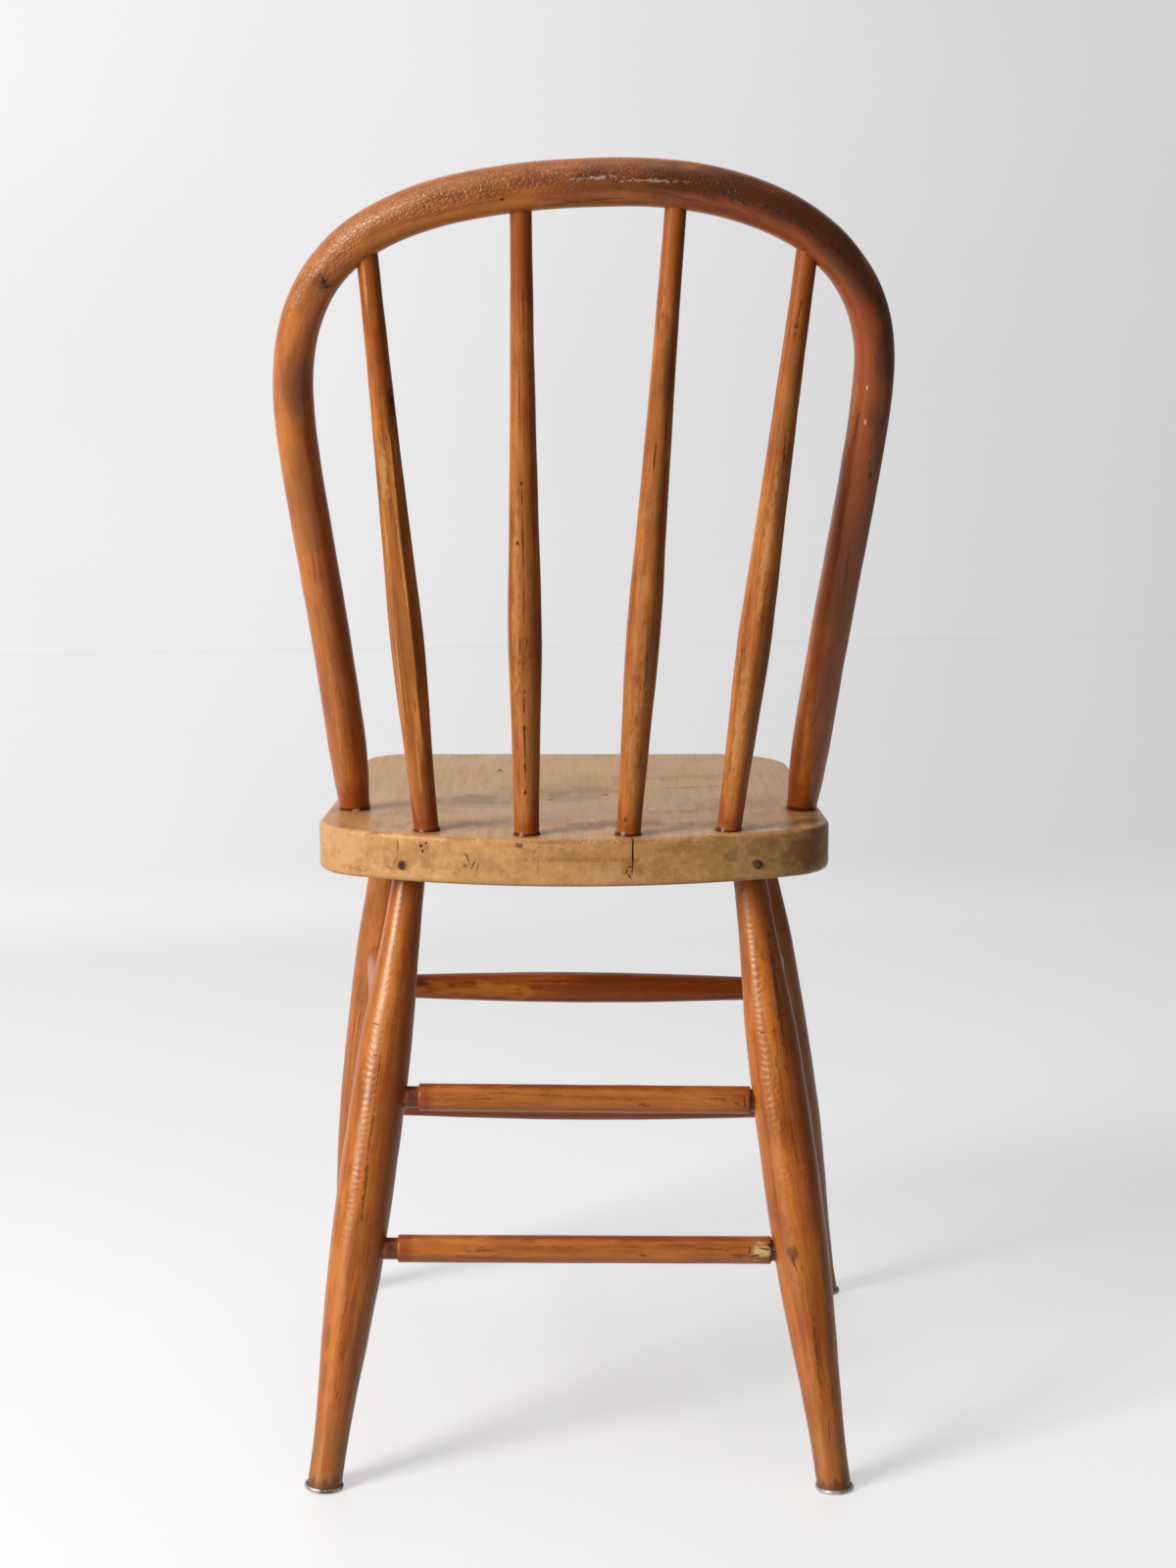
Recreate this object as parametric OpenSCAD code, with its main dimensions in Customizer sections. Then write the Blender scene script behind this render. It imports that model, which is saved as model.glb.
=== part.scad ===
// Hoop-back kitchen chair: a plank seat on four turned and splayed legs,
// joined by eight rungs, with a bent bow and four turned spindles for a back.
// X runs to the sitter's left, the front faces -Y and the floor is z = 0.
// Inside the file, y = 0 is the middle of the seat's back edge; place() moves
// the finished pieces so that the chair stands centred over the origin.

/* [Seat] */
// Height of the seat's upper face above the floor
seat_top = 445; // [420:1:480]
// Thickness of the seat plank
seat_thick = 33; // [29:1:42]
// Greatest width of the seat, a little in front of the spindles
seat_w = 354.5; // [295:0.5:430]
// How much narrower the seat is at its front, in all
seat_taper = 24.5; // [0:0.5:50]
// How far the plank sits towards the sitter's left of the bow and the spindles
seat_offset = 2.7; // [0:0.1:4]
// Depth of the seat, front to back
seat_d = 398; // [330:5:480]
// Radius of the curved back edge
seat_back_r = 312; // [280:2:400]
// Radius of the two back corners
seat_rear_corner_r = 50; // [35:1:70]
// Radius of the front corner on the sitter's left
front_corner_left_r = 34; // [15:1:70]
// Radius of the front corner on the sitter's right, which is worn rounder
front_corner_right_r = 58; // [15:1:70]
// Radius worn onto the seat's edges, above and below
seat_edge_r = 3.5; // [1:0.5:6]
// Depth of the hollow scooped out of the seat
dish_depth = 6; // [2:0.5:8]
// Width of that hollow
dish_w = 270; // [200:5:280]

/* [Bow] */
// Backward lean of the bow from upright, in degrees
bow_rake = 20; // [12:1:24]
// Height of the bow's crown above the seat, along the bow
bow_h = 458; // [380:1:540]
// Distance from half the seat's width to the centre of a bow post
bow_inset = 18.7; // [17:0.1:30]
// Distance from the seat's back edge forward to the bow posts
bow_setback = 127; // [100:1:150]
// How far the bow swells past its foot on the sitter's left
bow_swell_left = 29; // [10:1:50]
// How far the bow swells past its foot on the sitter's right
bow_swell_right = 36.5; // [10:0.5:50]
// Share of the bow's height at which its left side is widest
bow_waist_left = 0.676; // [0.55:0.01:0.8]
// Share of the bow's height at which its right side is widest
bow_waist_right = 0.728; // [0.55:0.01:0.8]
// Sideways drift of the crown's highest point, towards the sitter's right
bow_drift = 34; // [0:1:50]
// Diameter of the bow at its crown
bow_crown_d = 30.8; // [26:0.2:36]
// Diameter of the bow along its sides
bow_side_d = 26.8; // [23:0.2:32]
// Diameter of the bow where it enters the seat
bow_foot_d = 21.5; // [18:0.5:26]

/* [Spindles] */
// Centre distance between spindles at the seat
spindle_pitch = 68.6; // [50:0.2:75]
// Distance from the seat's back edge to the row of spindles
spindle_inset = 19; // [15:0.5:30]
// Where the spindles meet the bow, measured to the sitter's left
spindle_tops = [136.4, 36, -64, -149.6]; // [-160:0.2:150]
// Diameter of a spindle at its swelling
spindle_belly_d = 22.6; // [19:0.2:28]
// Diameter of a spindle at the seat
spindle_foot_d = 17; // [15:0.2:20]
// Diameter of a spindle at the bow
spindle_top_d = 14.3; // [11:0.1:17]

/* [Legs] */
// Diameter of a leg at its swelling
leg_belly_d = 38.5; // [34:0.5:46]
// Diameter of a leg where it meets the seat
leg_top_d = 22.8; // [22:0.2:30]
// Diameter of a leg at the floor
leg_foot_d = 23.2; // [20:0.2:28]
// Distance from the seat's back edge to the tops of the rear legs
rear_leg_inset = 65; // [50:1:90]
// Distance from the seat's front edge to the tops of the front legs
front_leg_inset = 68; // [50:1:90]
// Distance from half the seat's width to a rear leg's top
rear_leg_side = 60.2; // [50:0.2:80]
// Distance from half the seat's front width to a front leg's top
front_leg_side = 26.5; // [24:0.5:50]
// Sideways splay of all the legs, in degrees
leg_splay = 7.9; // [3:0.1:12]
// Backward rake of the rear legs, in degrees
rear_rake = 12.6; // [5:0.1:15]
// Forward rake of the front legs, in degrees
front_rake = 8.7; // [3:0.1:12]
// Drift of both rear legs towards the sitter's right
rear_leg_drift = 1; // [0:0.5:5]
// Drift of the front legs' tops towards the sitter's left
front_top_drift = 6; // [0:1:10]
// Drift of the front feet towards the sitter's right
front_foot_drift = 4; // [0:1:10]

/* [Rungs] */
// Height of the upper rung between the rear legs
rear_rung_upper_z = 258.5; // [230:0.5:270]
// Height of the lower rung between the rear legs
rear_rung_lower_z = 158; // [130:0.5:170]
// Height of the upper rung between the front legs
front_rung_upper_z = 264; // [230:1:270]
// Height of the lower rung between the front legs
front_rung_lower_z = 164; // [130:1:170]
// Height of the upper rungs at the sides
side_rung_upper_z = 292; // [286:1:310]
// Height of the lower rungs at the sides
side_rung_lower_z = 192; // [186:1:210]
// Diameter of the plain rungs
rung_d = 19; // [17:0.5:22]
// Diameter of the front rungs at their middle
front_rung_belly_d = 24; // [20:0.5:30]
// Diameter of the front rungs at their ends
front_rung_end_d = 18; // [16.5:0.5:20]
// Diameter of the turned-down ends
rung_tenon_d = 15; // [12:0.5:15.5]
// Length of turned-down end left showing at the left of the rear rungs
rung_neck = 7; // [0:0.5:10]
// How much higher than their middle the cross rungs stand at the left, and lower at the right
rung_fall = 1.2; // [0:0.1:3]

/* [Nails and glides] */
// Diameter of a glide
glide_d = 26.6; // [24:0.2:32]
// Thickness of a glide
glide_t = 3; // [2:0.1:4]
// Tilt of the rear left glide, in degrees
glide_tilt = 4; // [0:0.5:7]
// Diameter of a glide's prong
prong_d = 2.4; // [1.8:0.1:3]
// Length of a glide's prong
prong_len = 14; // [10:1:20]
// Diameter of the nail heads on the seat's edge
seat_nail_head_d = 6.4; // [5:0.2:8]
// Diameter of the shanks of the seat nails
seat_nail_d = 2.8; // [2:0.1:3.2]
// Length of the seat nails
seat_nail_len = 48; // [42:1:50]
// Diameter of the nail head on the right rear leg
rung_nail_head_d = 4.6; // [3:0.2:6]
// Diameter of that nail's shank
rung_nail_d = 2.2; // [1.6:0.1:2.6]
// Length of that nail
rung_nail_len = 28; // [24:1:32]

/* [Fits] */
// Gap left for glue round every tenon
glue_gap = 0.1; // [0.05:0.01:0.2]
// Gap left at the bottom of every socket
socket_gap = 1; // [0.5:0.1:1.5]
// Length of the tenons in the seat
seat_tenon = 24; // [18:0.5:25]
// How far a rung or spindle tenon passes the middle of what holds it
tenon_past = 3; // [1:0.5:4]

/* [Hidden] */
$fn = 64;
amber = [0.66, 0.34, 0.12];
pale_wood = [0.78, 0.60, 0.38];
zinc = [0.62, 0.61, 0.58];
iron = [0.22, 0.18, 0.16];

// Steps used to draw curves: degrees along an edge, points in each bend and turning
arc_step = 4;
bend_steps = 16;
turn_steps = 5;
bow_sides = 32;
overlap = 10;
// Where a turned outline starts round its axis, away from the slope of any cut
start_turn = 52;

seat_bottom = seat_top - seat_thick;
front_half = (seat_w - seat_taper) / 2;
dish_r = (dish_w * dish_w / 4 + dish_depth * dish_depth) / (2 * dish_depth);
dish_y = -seat_d * 0.57;

// ---- small helpers -------------------------------------------------------

function unit(v) = v / norm(v);
function mod360(a) = a - 360 * floor(a / 360);
function clamp1(x) = max(-1, min(1, x));

// Point on a cubic curve with end points a and d and handles b and c
function bezier(a, b, c, d, t) =
    pow(1 - t, 3) * a + 3 * pow(1 - t, 2) * t * b + 3 * (1 - t) * t * t * c + pow(t, 3) * d;

// Smooth value between q and r, with neighbours p and s
function blend4(p, q, r, s, t) =
    q + 0.5 * t * (r - p + t * (2 * p - 5 * q + 4 * r - s + t * (3 * (q - r) + s - p)));

// Smooth outline through turning stations [share of length, diameter]
function turning(st, length) =
    [for (i = [0 : len(st) - 2], k = [0 : turn_steps - 1 + (i == len(st) - 2 ? 1 : 0)])
        let (t = k / turn_steps, p = st[max(0, i - 1)], q = st[i], r = st[i + 1],
             s = st[min(len(st) - 1, i + 2)])
        [blend4(p[1], q[1], r[1], s[1], t) / 2, (q[0] + (r[0] - q[0]) * t) * length]];

// Outward angle of the straight run between two circles [x, y, r] of a belt
function run_angle(c1, c2) =
    let (dx = c2[0] - c1[0], dy = c2[1] - c1[1])
    atan2(dy, dx) - acos(clamp1((c1[2] - c2[2]) / norm([dx, dy])));

// Outline of a belt laid anticlockwise round circles, drawn in by inset
function belt(circles, inset = 0) =
    let (n = len(circles))
    [for (i = [0 : n - 1])
        let (c = circles[i], from = run_angle(circles[(i + n - 1) % n], c),
             span = mod360(run_angle(c, circles[(i + 1) % n]) - from),
             steps = max(2, ceil(span / arc_step)))
        for (k = [0 : steps])
            let (a = from + span * k / steps)
            [c[0] + (c[2] - inset) * cos(a), c[1] + (c[2] - inset) * sin(a)]];

// Solid skinned over rings of points that all have the same count
module skin(rings) {
    n = len(rings[0]);
    last = len(rings) - 1;
    faces = [[for (k = [n - 1 : -1 : 0]) k],
             for (i = [0 : last - 1], k = [0 : n - 1])
                 [i * n + k, i * n + (k + 1) % n, (i + 1) * n + (k + 1) % n, (i + 1) * n + k],
             [for (k = [0 : n - 1]) last * n + k]];
    polyhedron(points = [for (ring = rings) each ring], faces = faces, convexity = 6);
}

// Stands its children at one point with their +Z towards another
module aim(from, to) {
    d = unit(to - from);
    translate(from) rotate([0, acos(clamp1(d[2])), atan2(d[1], d[0])]) children();
}

// Solid turned about Z from an outline of [radius, height] points, run on plain to two heights
module turned(outline, bottom, top) {
    first = outline[0];
    last = outline[len(outline) - 1];
    rotate([0, 0, start_turn]) rotate_extrude()
        polygon([[0, bottom], [first[0], bottom], each outline, [last[0], top], [0, top]]);
}

// ---- seat ----------------------------------------------------------------

corner_share = (seat_w / 2 - seat_rear_corner_r) / (seat_back_r - seat_rear_corner_r);
rear_corner_y = -seat_back_r + (seat_back_r - seat_rear_corner_r) * sqrt(1 - pow(corner_share, 2));
seat_circles = [
    [seat_w / 2 - seat_rear_corner_r, rear_corner_y, seat_rear_corner_r],
    [0, -seat_back_r, seat_back_r],
    [-seat_w / 2 + seat_rear_corner_r, rear_corner_y, seat_rear_corner_r],
    [-front_half + front_corner_right_r, -seat_d + front_corner_right_r, front_corner_right_r],
    [front_half - front_corner_left_r, -seat_d + front_corner_left_r, front_corner_left_r]];

function seat_ring(inset, z) = [for (p = belt(seat_circles, inset)) [p[0] + seat_offset, p[1], z]];

module seat_plank() {
    edge = [0, 35, 65, 90];
    skin([for (a = edge) seat_ring(seat_edge_r * (1 - sin(a)), seat_bottom + seat_edge_r * (1 - cos(a))),
          for (a = edge) seat_ring(seat_edge_r * (1 - cos(a)), seat_top - seat_edge_r * (1 - sin(a)))]);
}

module dish() translate([0, dish_y, seat_top - dish_depth + dish_r]) sphere(r = dish_r, $fn = 240);

// ---- bow -----------------------------------------------------------------
// The bow lies flat in a leaning plane: x to the left, u up along the plane.

bow_x = seat_w / 2 - bow_inset;
bow_left = [bow_x + bow_swell_left, bow_h * bow_waist_left];
bow_right = [-bow_x - bow_swell_right, bow_h * bow_waist_right];
bow_crown = [-bow_drift, bow_h];
// Outward lean of the left and right posts at the seat, as slopes
foot_flare = [0.06, 0.09];
// Lengths of the curve handles, as shares of the stretch that they bend
post_pull = 0.45;
waist_pull = 0.17;
shoulder_left = [0.62, 0.80];
shoulder_right = [0.76, 0.44];

function flare_of(side) = side > 0 ? foot_flare[0] : foot_flare[1];

// Side from the seat up to the widest point
function side_bend(foot, waist, t) =
    let (out = sign(foot[0]), h = waist[1])
    bezier(foot, foot + [out * flare_of(out), 1] * h * post_pull,
           waist - [0, h * waist_pull], waist, t);

// Shoulder from the widest point to the crown
function shoulder_bend(waist, pull, t) =
    let (rise = bow_crown[1] - waist[1], run = bow_crown[0] - waist[0])
    bezier(waist, waist + [0, rise * pull[0]],
           bow_crown - [run * pull[1], 0], bow_crown, t);

// Shares along a bend, with its end point or without it
function shares(with_end) = [for (k = [0 : bend_steps - (with_end ? 0 : 1)]) k / bend_steps];
// Length of post above the seat that keeps its foot's diameter
post_straight = 6;
// Point on a post's straight foot, at a distance above the seat
function foot_point(side, rise) = [side * bow_x, 0] + unit([side * flare_of(side), 1]) * rise;
left_foot = foot_point(1, post_straight);
right_foot = foot_point(-1, post_straight);
left_side = [for (t = shares(false)) side_bend(left_foot, bow_left, t)];
left_shoulder = [for (t = shares(true)) shoulder_bend(bow_left, shoulder_left, t)];
right_shoulder = [for (t = shares(false)) shoulder_bend(bow_right, shoulder_right, t)];
right_side = [for (t = shares(false)) side_bend(right_foot, bow_right, t)];
function reversed(v) = [for (i = [len(v) - 1 : -1 : 0]) v[i]];
bow_bend = [each left_side, each left_shoulder, each reversed(right_shoulder),
            each reversed(right_side)];
// Straight ends run on down into the seat
bow_line = [foot_point(1, -seat_tenon), each bow_bend, foot_point(-1, -seat_tenon)];

// Diameter of the bow at height u along its plane
bow_diameters = [[post_straight, bow_foot_d], [26, bow_foot_d + (bow_side_d - bow_foot_d) * 0.6],
                 [50, bow_side_d], [bow_h * 0.88, bow_side_d],
                 [bow_h * 0.96, bow_crown_d - 1], [bow_h * 0.99, bow_crown_d]];
function bow_d(u) = lookup(u, bow_diameters);

function bow_ring(i) =
    let (n = len(bow_line), p = bow_line[i],
         d = unit(bow_line[min(n - 1, i + 1)] - bow_line[max(0, i - 1)]),
         r = bow_d(p[1]) / 2)
    [for (k = [0 : bow_sides - 1])
        let (a = 360 * k / bow_sides)
        [p[0] + r * cos(a) * d[1], p[1] - r * cos(a) * d[0], r * sin(a)]];

module in_bow_plane()
    translate([0, -bow_setback, seat_top]) rotate([90 - bow_rake, 0, 0]) children();

// A point of the bow's plane, in the chair's own space
function from_plane(p) =
    [p[0], -bow_setback + p[1] * sin(bow_rake), seat_top + p[1] * cos(bow_rake)];

// ---- spindles ------------------------------------------------------------

spindle_row_r = seat_back_r - spindle_inset;
function spindle_foot(i) =
    let (x = spindle_pitch * (1.5 - i))
    [x, -seat_back_r + sqrt(pow(spindle_row_r, 2) - x * x), seat_top];
crown_heights = [each right_shoulder, each reversed(left_shoulder)];
function spindle_head(i) =
    from_plane([spindle_tops[i], lookup(spindle_tops[i], crown_heights)]);
// The ends stay plain where they go into the seat and the bow
spindle_swell = spindle_belly_d - spindle_foot_d;
spindle_stations = [[0.03, spindle_foot_d], [0.15, spindle_foot_d + spindle_swell * 0.4],
                    [0.32, spindle_belly_d], [0.5, spindle_foot_d + spindle_swell * 0.45],
                    [0.7, spindle_top_d + 2.1], [0.92, spindle_top_d]];
spindle_tenon = seat_tenon - 3;

module spindle(i) {
    foot = spindle_foot(i);
    head = spindle_head(i);
    length = norm(head - foot);
    aim(foot, head)
        turned(turning(spindle_stations, length), -spindle_tenon, length + tenon_past);
}

// Hole for a piece of diameter d with its glue gap, as long as h
module bored(d, h) rotate([0, 0, start_turn]) cylinder(d = d + 2 * glue_gap, h = h);

// Hole in the seat for a spindle's foot, and hole in the bow for its head
module spindle_sockets(i) {
    foot = spindle_foot(i);
    head = spindle_head(i);
    aim(foot, head) translate([0, 0, -spindle_tenon - socket_gap])
        bored(spindle_foot_d, spindle_tenon + socket_gap + overlap);
    aim(head, foot) translate([0, 0, -tenon_past - socket_gap])
        bored(spindle_top_d, bow_crown_d + tenon_past);
}

// ---- legs ----------------------------------------------------------------
// A leg is [top x, top y, x gained per mm of fall, y gained per mm of fall].

rear_top = [seat_w / 2 - rear_leg_side, -rear_leg_inset];
front_top = [front_half - front_leg_side, -seat_d + front_leg_inset];
splay = tan(leg_splay);
front_skew = (front_top_drift + front_foot_drift) / seat_bottom;
LEGS = [[rear_top[0] - rear_leg_drift, rear_top[1], splay, tan(rear_rake)],
        [-rear_top[0] - rear_leg_drift, rear_top[1], -splay, tan(rear_rake)],
        [front_top[0] + front_top_drift, front_top[1], splay - front_skew, -tan(front_rake)],
        [-front_top[0] + front_top_drift, front_top[1], -splay - front_skew, -tan(front_rake)]];
REAR_LEFT = 0;
REAR_RIGHT = 1;
FRONT_LEFT = 2;
FRONT_RIGHT = 3;
// The ends stay plain, above the glide and where they go into the seat
leg_stations = [[0.05, leg_foot_d], [0.14, leg_foot_d + 3], [0.24, leg_belly_d - 6.6],
                [0.36, leg_belly_d - 1.4], [0.5, leg_belly_d], [0.62, leg_belly_d - 1],
                [0.74, leg_belly_d - 3.4], [0.87, leg_top_d + 4.6], [0.985, leg_top_d]];

function leg_at(i, z) =
    let (fall = seat_bottom - z, leg = LEGS[i])
    [leg[0] + leg[2] * fall, leg[1] + leg[3] * fall, z];
function leg_r(z) = lookup(z / seat_bottom, leg_stations) / 2;
function tilt_of(i) = i == REAR_LEFT ? glide_tilt : 0;

// Stands a glide's own space under a leg, tipped about its inner edge
module under_leg(i) {
    foot = leg_at(i, 0);
    translate([foot[0] - glide_d / 2, foot[1], 0]) rotate([0, -tilt_of(i), 0])
        translate([glide_d / 2, 0, 0]) children();
}

module leg(i) {
    foot = leg_at(i, 0);
    top = leg_at(i, seat_bottom);
    length = norm(top - foot);
    difference() {
        aim(foot, top) turned(turning(leg_stations, length), -overlap, length + seat_tenon);
        under_leg(i) translate([-glide_d, -glide_d, glide_t - 50])
            cube([2 * glide_d, 2 * glide_d, 50]);
        under_leg(i) cylinder(d = prong_d + 2 * glue_gap, h = glide_t + prong_len + socket_gap);
        for (r = RUNGS) if (r[0] == i || r[1] == i) rung_sockets(r);
    }
}

module leg_socket(i) {
    foot = leg_at(i, 0);
    top = leg_at(i, seat_bottom);
    aim(top, foot) translate([0, 0, -seat_tenon - socket_gap])
        bored(leg_top_d, seat_tenon + socket_gap + overlap);
}

module glide(i) under_leg(i) {
    rim = 0.8;
    rotate_extrude() polygon([[0, 0], [glide_d / 2 - rim, 0], [glide_d / 2, rim],
                              [glide_d / 2, glide_t - rim / 2], [glide_d / 2 - rim / 2, glide_t],
                              [0, glide_t]]);
    cylinder(d = prong_d, h = glide_t + prong_len);
}

// ---- rungs ---------------------------------------------------------------
// A rung is [from leg, to leg, height, rise at the first leg, neck showing there, swelled].

RUNGS = [[REAR_LEFT, REAR_RIGHT, rear_rung_upper_z, rung_fall, rung_neck, false],
         [REAR_LEFT, REAR_RIGHT, rear_rung_lower_z, rung_fall / 2, rung_neck, false],
         [FRONT_LEFT, FRONT_RIGHT, front_rung_upper_z, rung_fall, 0, true],
         [FRONT_LEFT, FRONT_RIGHT, front_rung_lower_z, rung_fall, 0, true],
         [REAR_LEFT, FRONT_LEFT, side_rung_upper_z, 0, 0, false],
         [REAR_LEFT, FRONT_LEFT, side_rung_lower_z, 0, 0, false],
         [REAR_RIGHT, FRONT_RIGHT, side_rung_upper_z, 0, 0, false],
         [REAR_RIGHT, FRONT_RIGHT, side_rung_lower_z, 0, 0, false]];
function rung_from(r) = leg_at(r[0], r[2] + r[3]);
function rung_to(r) = leg_at(r[1], r[2] - r[3]);
// Clearance from the nearest part of a leg to a rung's shoulder
shoulder_gap = 0.5;

// Distance from a leg's middle to a rung's shoulder, for a rung running along d
function shoulder_at(i, z, d, end_d) =
    let (lean = abs(LEGS[i][2] * d[0] + LEGS[i][3] * d[1]))
    leg_r(z) * sqrt(1 + lean * lean) + lean * end_d / 2 + shoulder_gap;

module rung(r) {
    a = rung_from(r);
    b = rung_to(r);
    d = unit(b - a);
    end_d = r[5] ? front_rung_end_d : rung_d;
    start = shoulder_at(r[0], r[2], d, end_d) + r[4];
    stop = norm(b - a) - shoulder_at(r[1], r[2], d, end_d);
    plain = [[start, rung_d], [stop, rung_d]];
    swelled = [for (k = [0 : 12]) [start + (stop - start) * k / 12,
                front_rung_end_d + (front_rung_belly_d - front_rung_end_d) * sin(15 * k)]];
    body = r[5] ? swelled : plain;
    tenon_r = rung_tenon_d / 2;
    aim(a, b) rotate_extrude() polygon([[0, -tenon_past], [tenon_r, -tenon_past], [tenon_r, start],
                                        for (p = body) [p[1] / 2, p[0]],
                                        [tenon_r, stop], [tenon_r, norm(b - a) + tenon_past],
                                        [0, norm(b - a) + tenon_past]]);
}

module rung_sockets(r) {
    a = rung_from(r);
    b = rung_to(r);
    depth = tenon_past + socket_gap + leg_belly_d;
    aim(a, b) translate([0, 0, -tenon_past - socket_gap])
        bored(rung_tenon_d, depth);
    aim(b, a) translate([0, 0, -tenon_past - socket_gap])
        bored(rung_tenon_d, depth);
}

// ---- nails ---------------------------------------------------------------
// The seat nails run forward through the back edge into the rear legs' tenons.

seat_nail_z = seat_bottom + 11;
// Sideways distance from a rear leg's tenon to its nail, left and right
seat_nail_off = [4, -5.5];
function seat_nail_at(i) =
    let (x = leg_at(i, seat_nail_z)[0] + seat_nail_off[i])
    [x, -seat_back_r + sqrt(pow(seat_back_r, 2) - pow(x - seat_offset, 2)), seat_nail_z];
// The rung nail runs forward through the right rear leg into the lower rung's tenon
rung_nail_z = rear_rung_lower_z + 4.5;
rung_nail_off = 7;
rung_nail_x = leg_at(REAR_RIGHT, rung_nail_z)[0] + rung_nail_off;
rung_nail_y = leg_at(REAR_RIGHT, rung_nail_z)[1]
              + sqrt(pow(leg_r(rung_nail_z), 2) - rung_nail_off * rung_nail_off);
head_t = 1.6;

// A nail with its head's outer face at z = 0 and its point towards -Z
module nail(head_d, shank_d, length, gap = 0) {
    tip = 4;
    rotate_extrude() polygon([[0, 0], [head_d / 2 - 0.5 + gap, 0], [head_d / 2 + gap, -0.5],
                              [head_d / 2 + gap, -head_t - gap], [shank_d / 2 + gap, -head_t - gap],
                              [shank_d / 2 + gap, -length + tip], [0, -length - gap]]);
}

module seat_nail(i, gap = 0)
    translate(seat_nail_at(i)) rotate([-90, 0, 0])
        nail(seat_nail_head_d, seat_nail_d, seat_nail_len, gap);

module rung_nail_solid(gap = 0)
    translate([rung_nail_x, rung_nail_y + 0.4, rung_nail_z]) rotate([-90, 0, 0])
        nail(rung_nail_head_d, rung_nail_d, rung_nail_len, gap);

// ---- pieces --------------------------------------------------------------

bow_back = from_plane(bow_crown)[1] + bow_crown_d / 2;
back_y = max(bow_back, leg_at(REAR_LEFT, 0)[1] + glide_d / 2);
front_y = min(-seat_d, leg_at(FRONT_LEFT, 0)[1] - glide_d / 2);
left_x = max(bow_left[0] + bow_side_d / 2, leg_at(FRONT_LEFT, 0)[0] + glide_d / 2,
             leg_at(REAR_LEFT, 0)[0] + glide_d / 2);
right_x = min(bow_right[0] - bow_side_d / 2, leg_at(FRONT_RIGHT, 0)[0] - glide_d / 2,
              leg_at(REAR_RIGHT, 0)[0] - glide_d / 2);

module place() translate([-(left_x + right_x) / 2, -(back_y + front_y) / 2, 0]) children();

module seat() color(pale_wood) place() difference() {
    seat_plank();
    dish();
    for (i = [0 : 3]) {
        leg_socket(i);
        spindle_sockets(i);
    }
    for (side = [1, -1]) bow_socket(side);
    for (i = [REAR_LEFT, REAR_RIGHT]) seat_nail(i, glue_gap / 2);
}

module bow_socket(side) in_bow_plane() {
    end = unit([side * flare_of(side), 1, 0]);
    reach = seat_tenon + socket_gap;
    aim([side * bow_x, 0, 0] - end * reach, [side * bow_x, 0, 0])
        bored(bow_foot_d, reach + overlap);
}

module back_bow() color(amber) place() difference() {
    in_bow_plane() skin([for (i = [0 : len(bow_line) - 1]) bow_ring(i)]);
    for (i = [0 : 3]) spindle_sockets(i);
}

module spindle_left_outer() color(amber) place() spindle(0);
module spindle_left_inner() color(amber) place() spindle(1);
module spindle_right_inner() color(amber) place() spindle(2);
module spindle_right_outer() color(amber) place() spindle(3);

module rear_leg_left() color(amber) place() difference() {
    leg(REAR_LEFT);
    seat_nail(REAR_LEFT, glue_gap / 2);
}
module rear_leg_right() color(amber) place() difference() {
    leg(REAR_RIGHT);
    seat_nail(REAR_RIGHT, glue_gap / 2);
    rung_nail_solid(glue_gap / 2);
}
module front_leg_left() color(amber) place() leg(FRONT_LEFT);
module front_leg_right() color(amber) place() leg(FRONT_RIGHT);

module rear_rung_upper() color(amber) place() rung(RUNGS[0]);
module rear_rung_lower() color(amber) place() difference() {
    rung(RUNGS[1]);
    rung_nail_solid(glue_gap / 2);
}
module front_rung_upper() color(amber) place() rung(RUNGS[2]);
module front_rung_lower() color(amber) place() rung(RUNGS[3]);
module side_rung_left_upper() color(amber) place() rung(RUNGS[4]);
module side_rung_left_lower() color(amber) place() rung(RUNGS[5]);
module side_rung_right_upper() color(amber) place() rung(RUNGS[6]);
module side_rung_right_lower() color(amber) place() rung(RUNGS[7]);

module glide_rear_left() color(zinc) place() glide(REAR_LEFT);
module glide_rear_right() color(zinc) place() glide(REAR_RIGHT);
module glide_front_left() color(zinc) place() glide(FRONT_LEFT);
module glide_front_right() color(zinc) place() glide(FRONT_RIGHT);

module seat_nail_left() color(iron) place() seat_nail(REAR_LEFT);
module seat_nail_right() color(iron) place() seat_nail(REAR_RIGHT);
module rung_nail() color(iron) place() rung_nail_solid();

seat();
back_bow();
spindle_left_outer();
spindle_left_inner();
spindle_right_inner();
spindle_right_outer();
rear_leg_left();
rear_leg_right();
front_leg_left();
front_leg_right();
rear_rung_upper();
rear_rung_lower();
front_rung_upper();
front_rung_lower();
side_rung_left_upper();
side_rung_left_lower();
side_rung_right_upper();
side_rung_right_lower();
glide_rear_left();
glide_rear_right();
glide_front_left();
glide_front_right();
seat_nail_left();
seat_nail_right();
rung_nail();
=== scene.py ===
"""Hoop-back kitchen chair in worn amber varnish, standing with its back to the camera.

Shapes are worked out in millimetres in the chair's own space: X runs to the sitter's left,
the front faces -Y, the floor is z = 0 and y = 0 is the middle of the seat's back edge.
Each mesh is then placed in the frame, in metres. A turned piece is first made standing on
its own axis, and a "grain" attribute keeps that position for its finish.
"""

from __future__ import annotations

import logging
import math
from dataclasses import dataclass
from enum import Enum
from functools import partial
from typing import Callable, Sequence

import bmesh
import bpy
from mathutils import Matrix, Vector, noise

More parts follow.
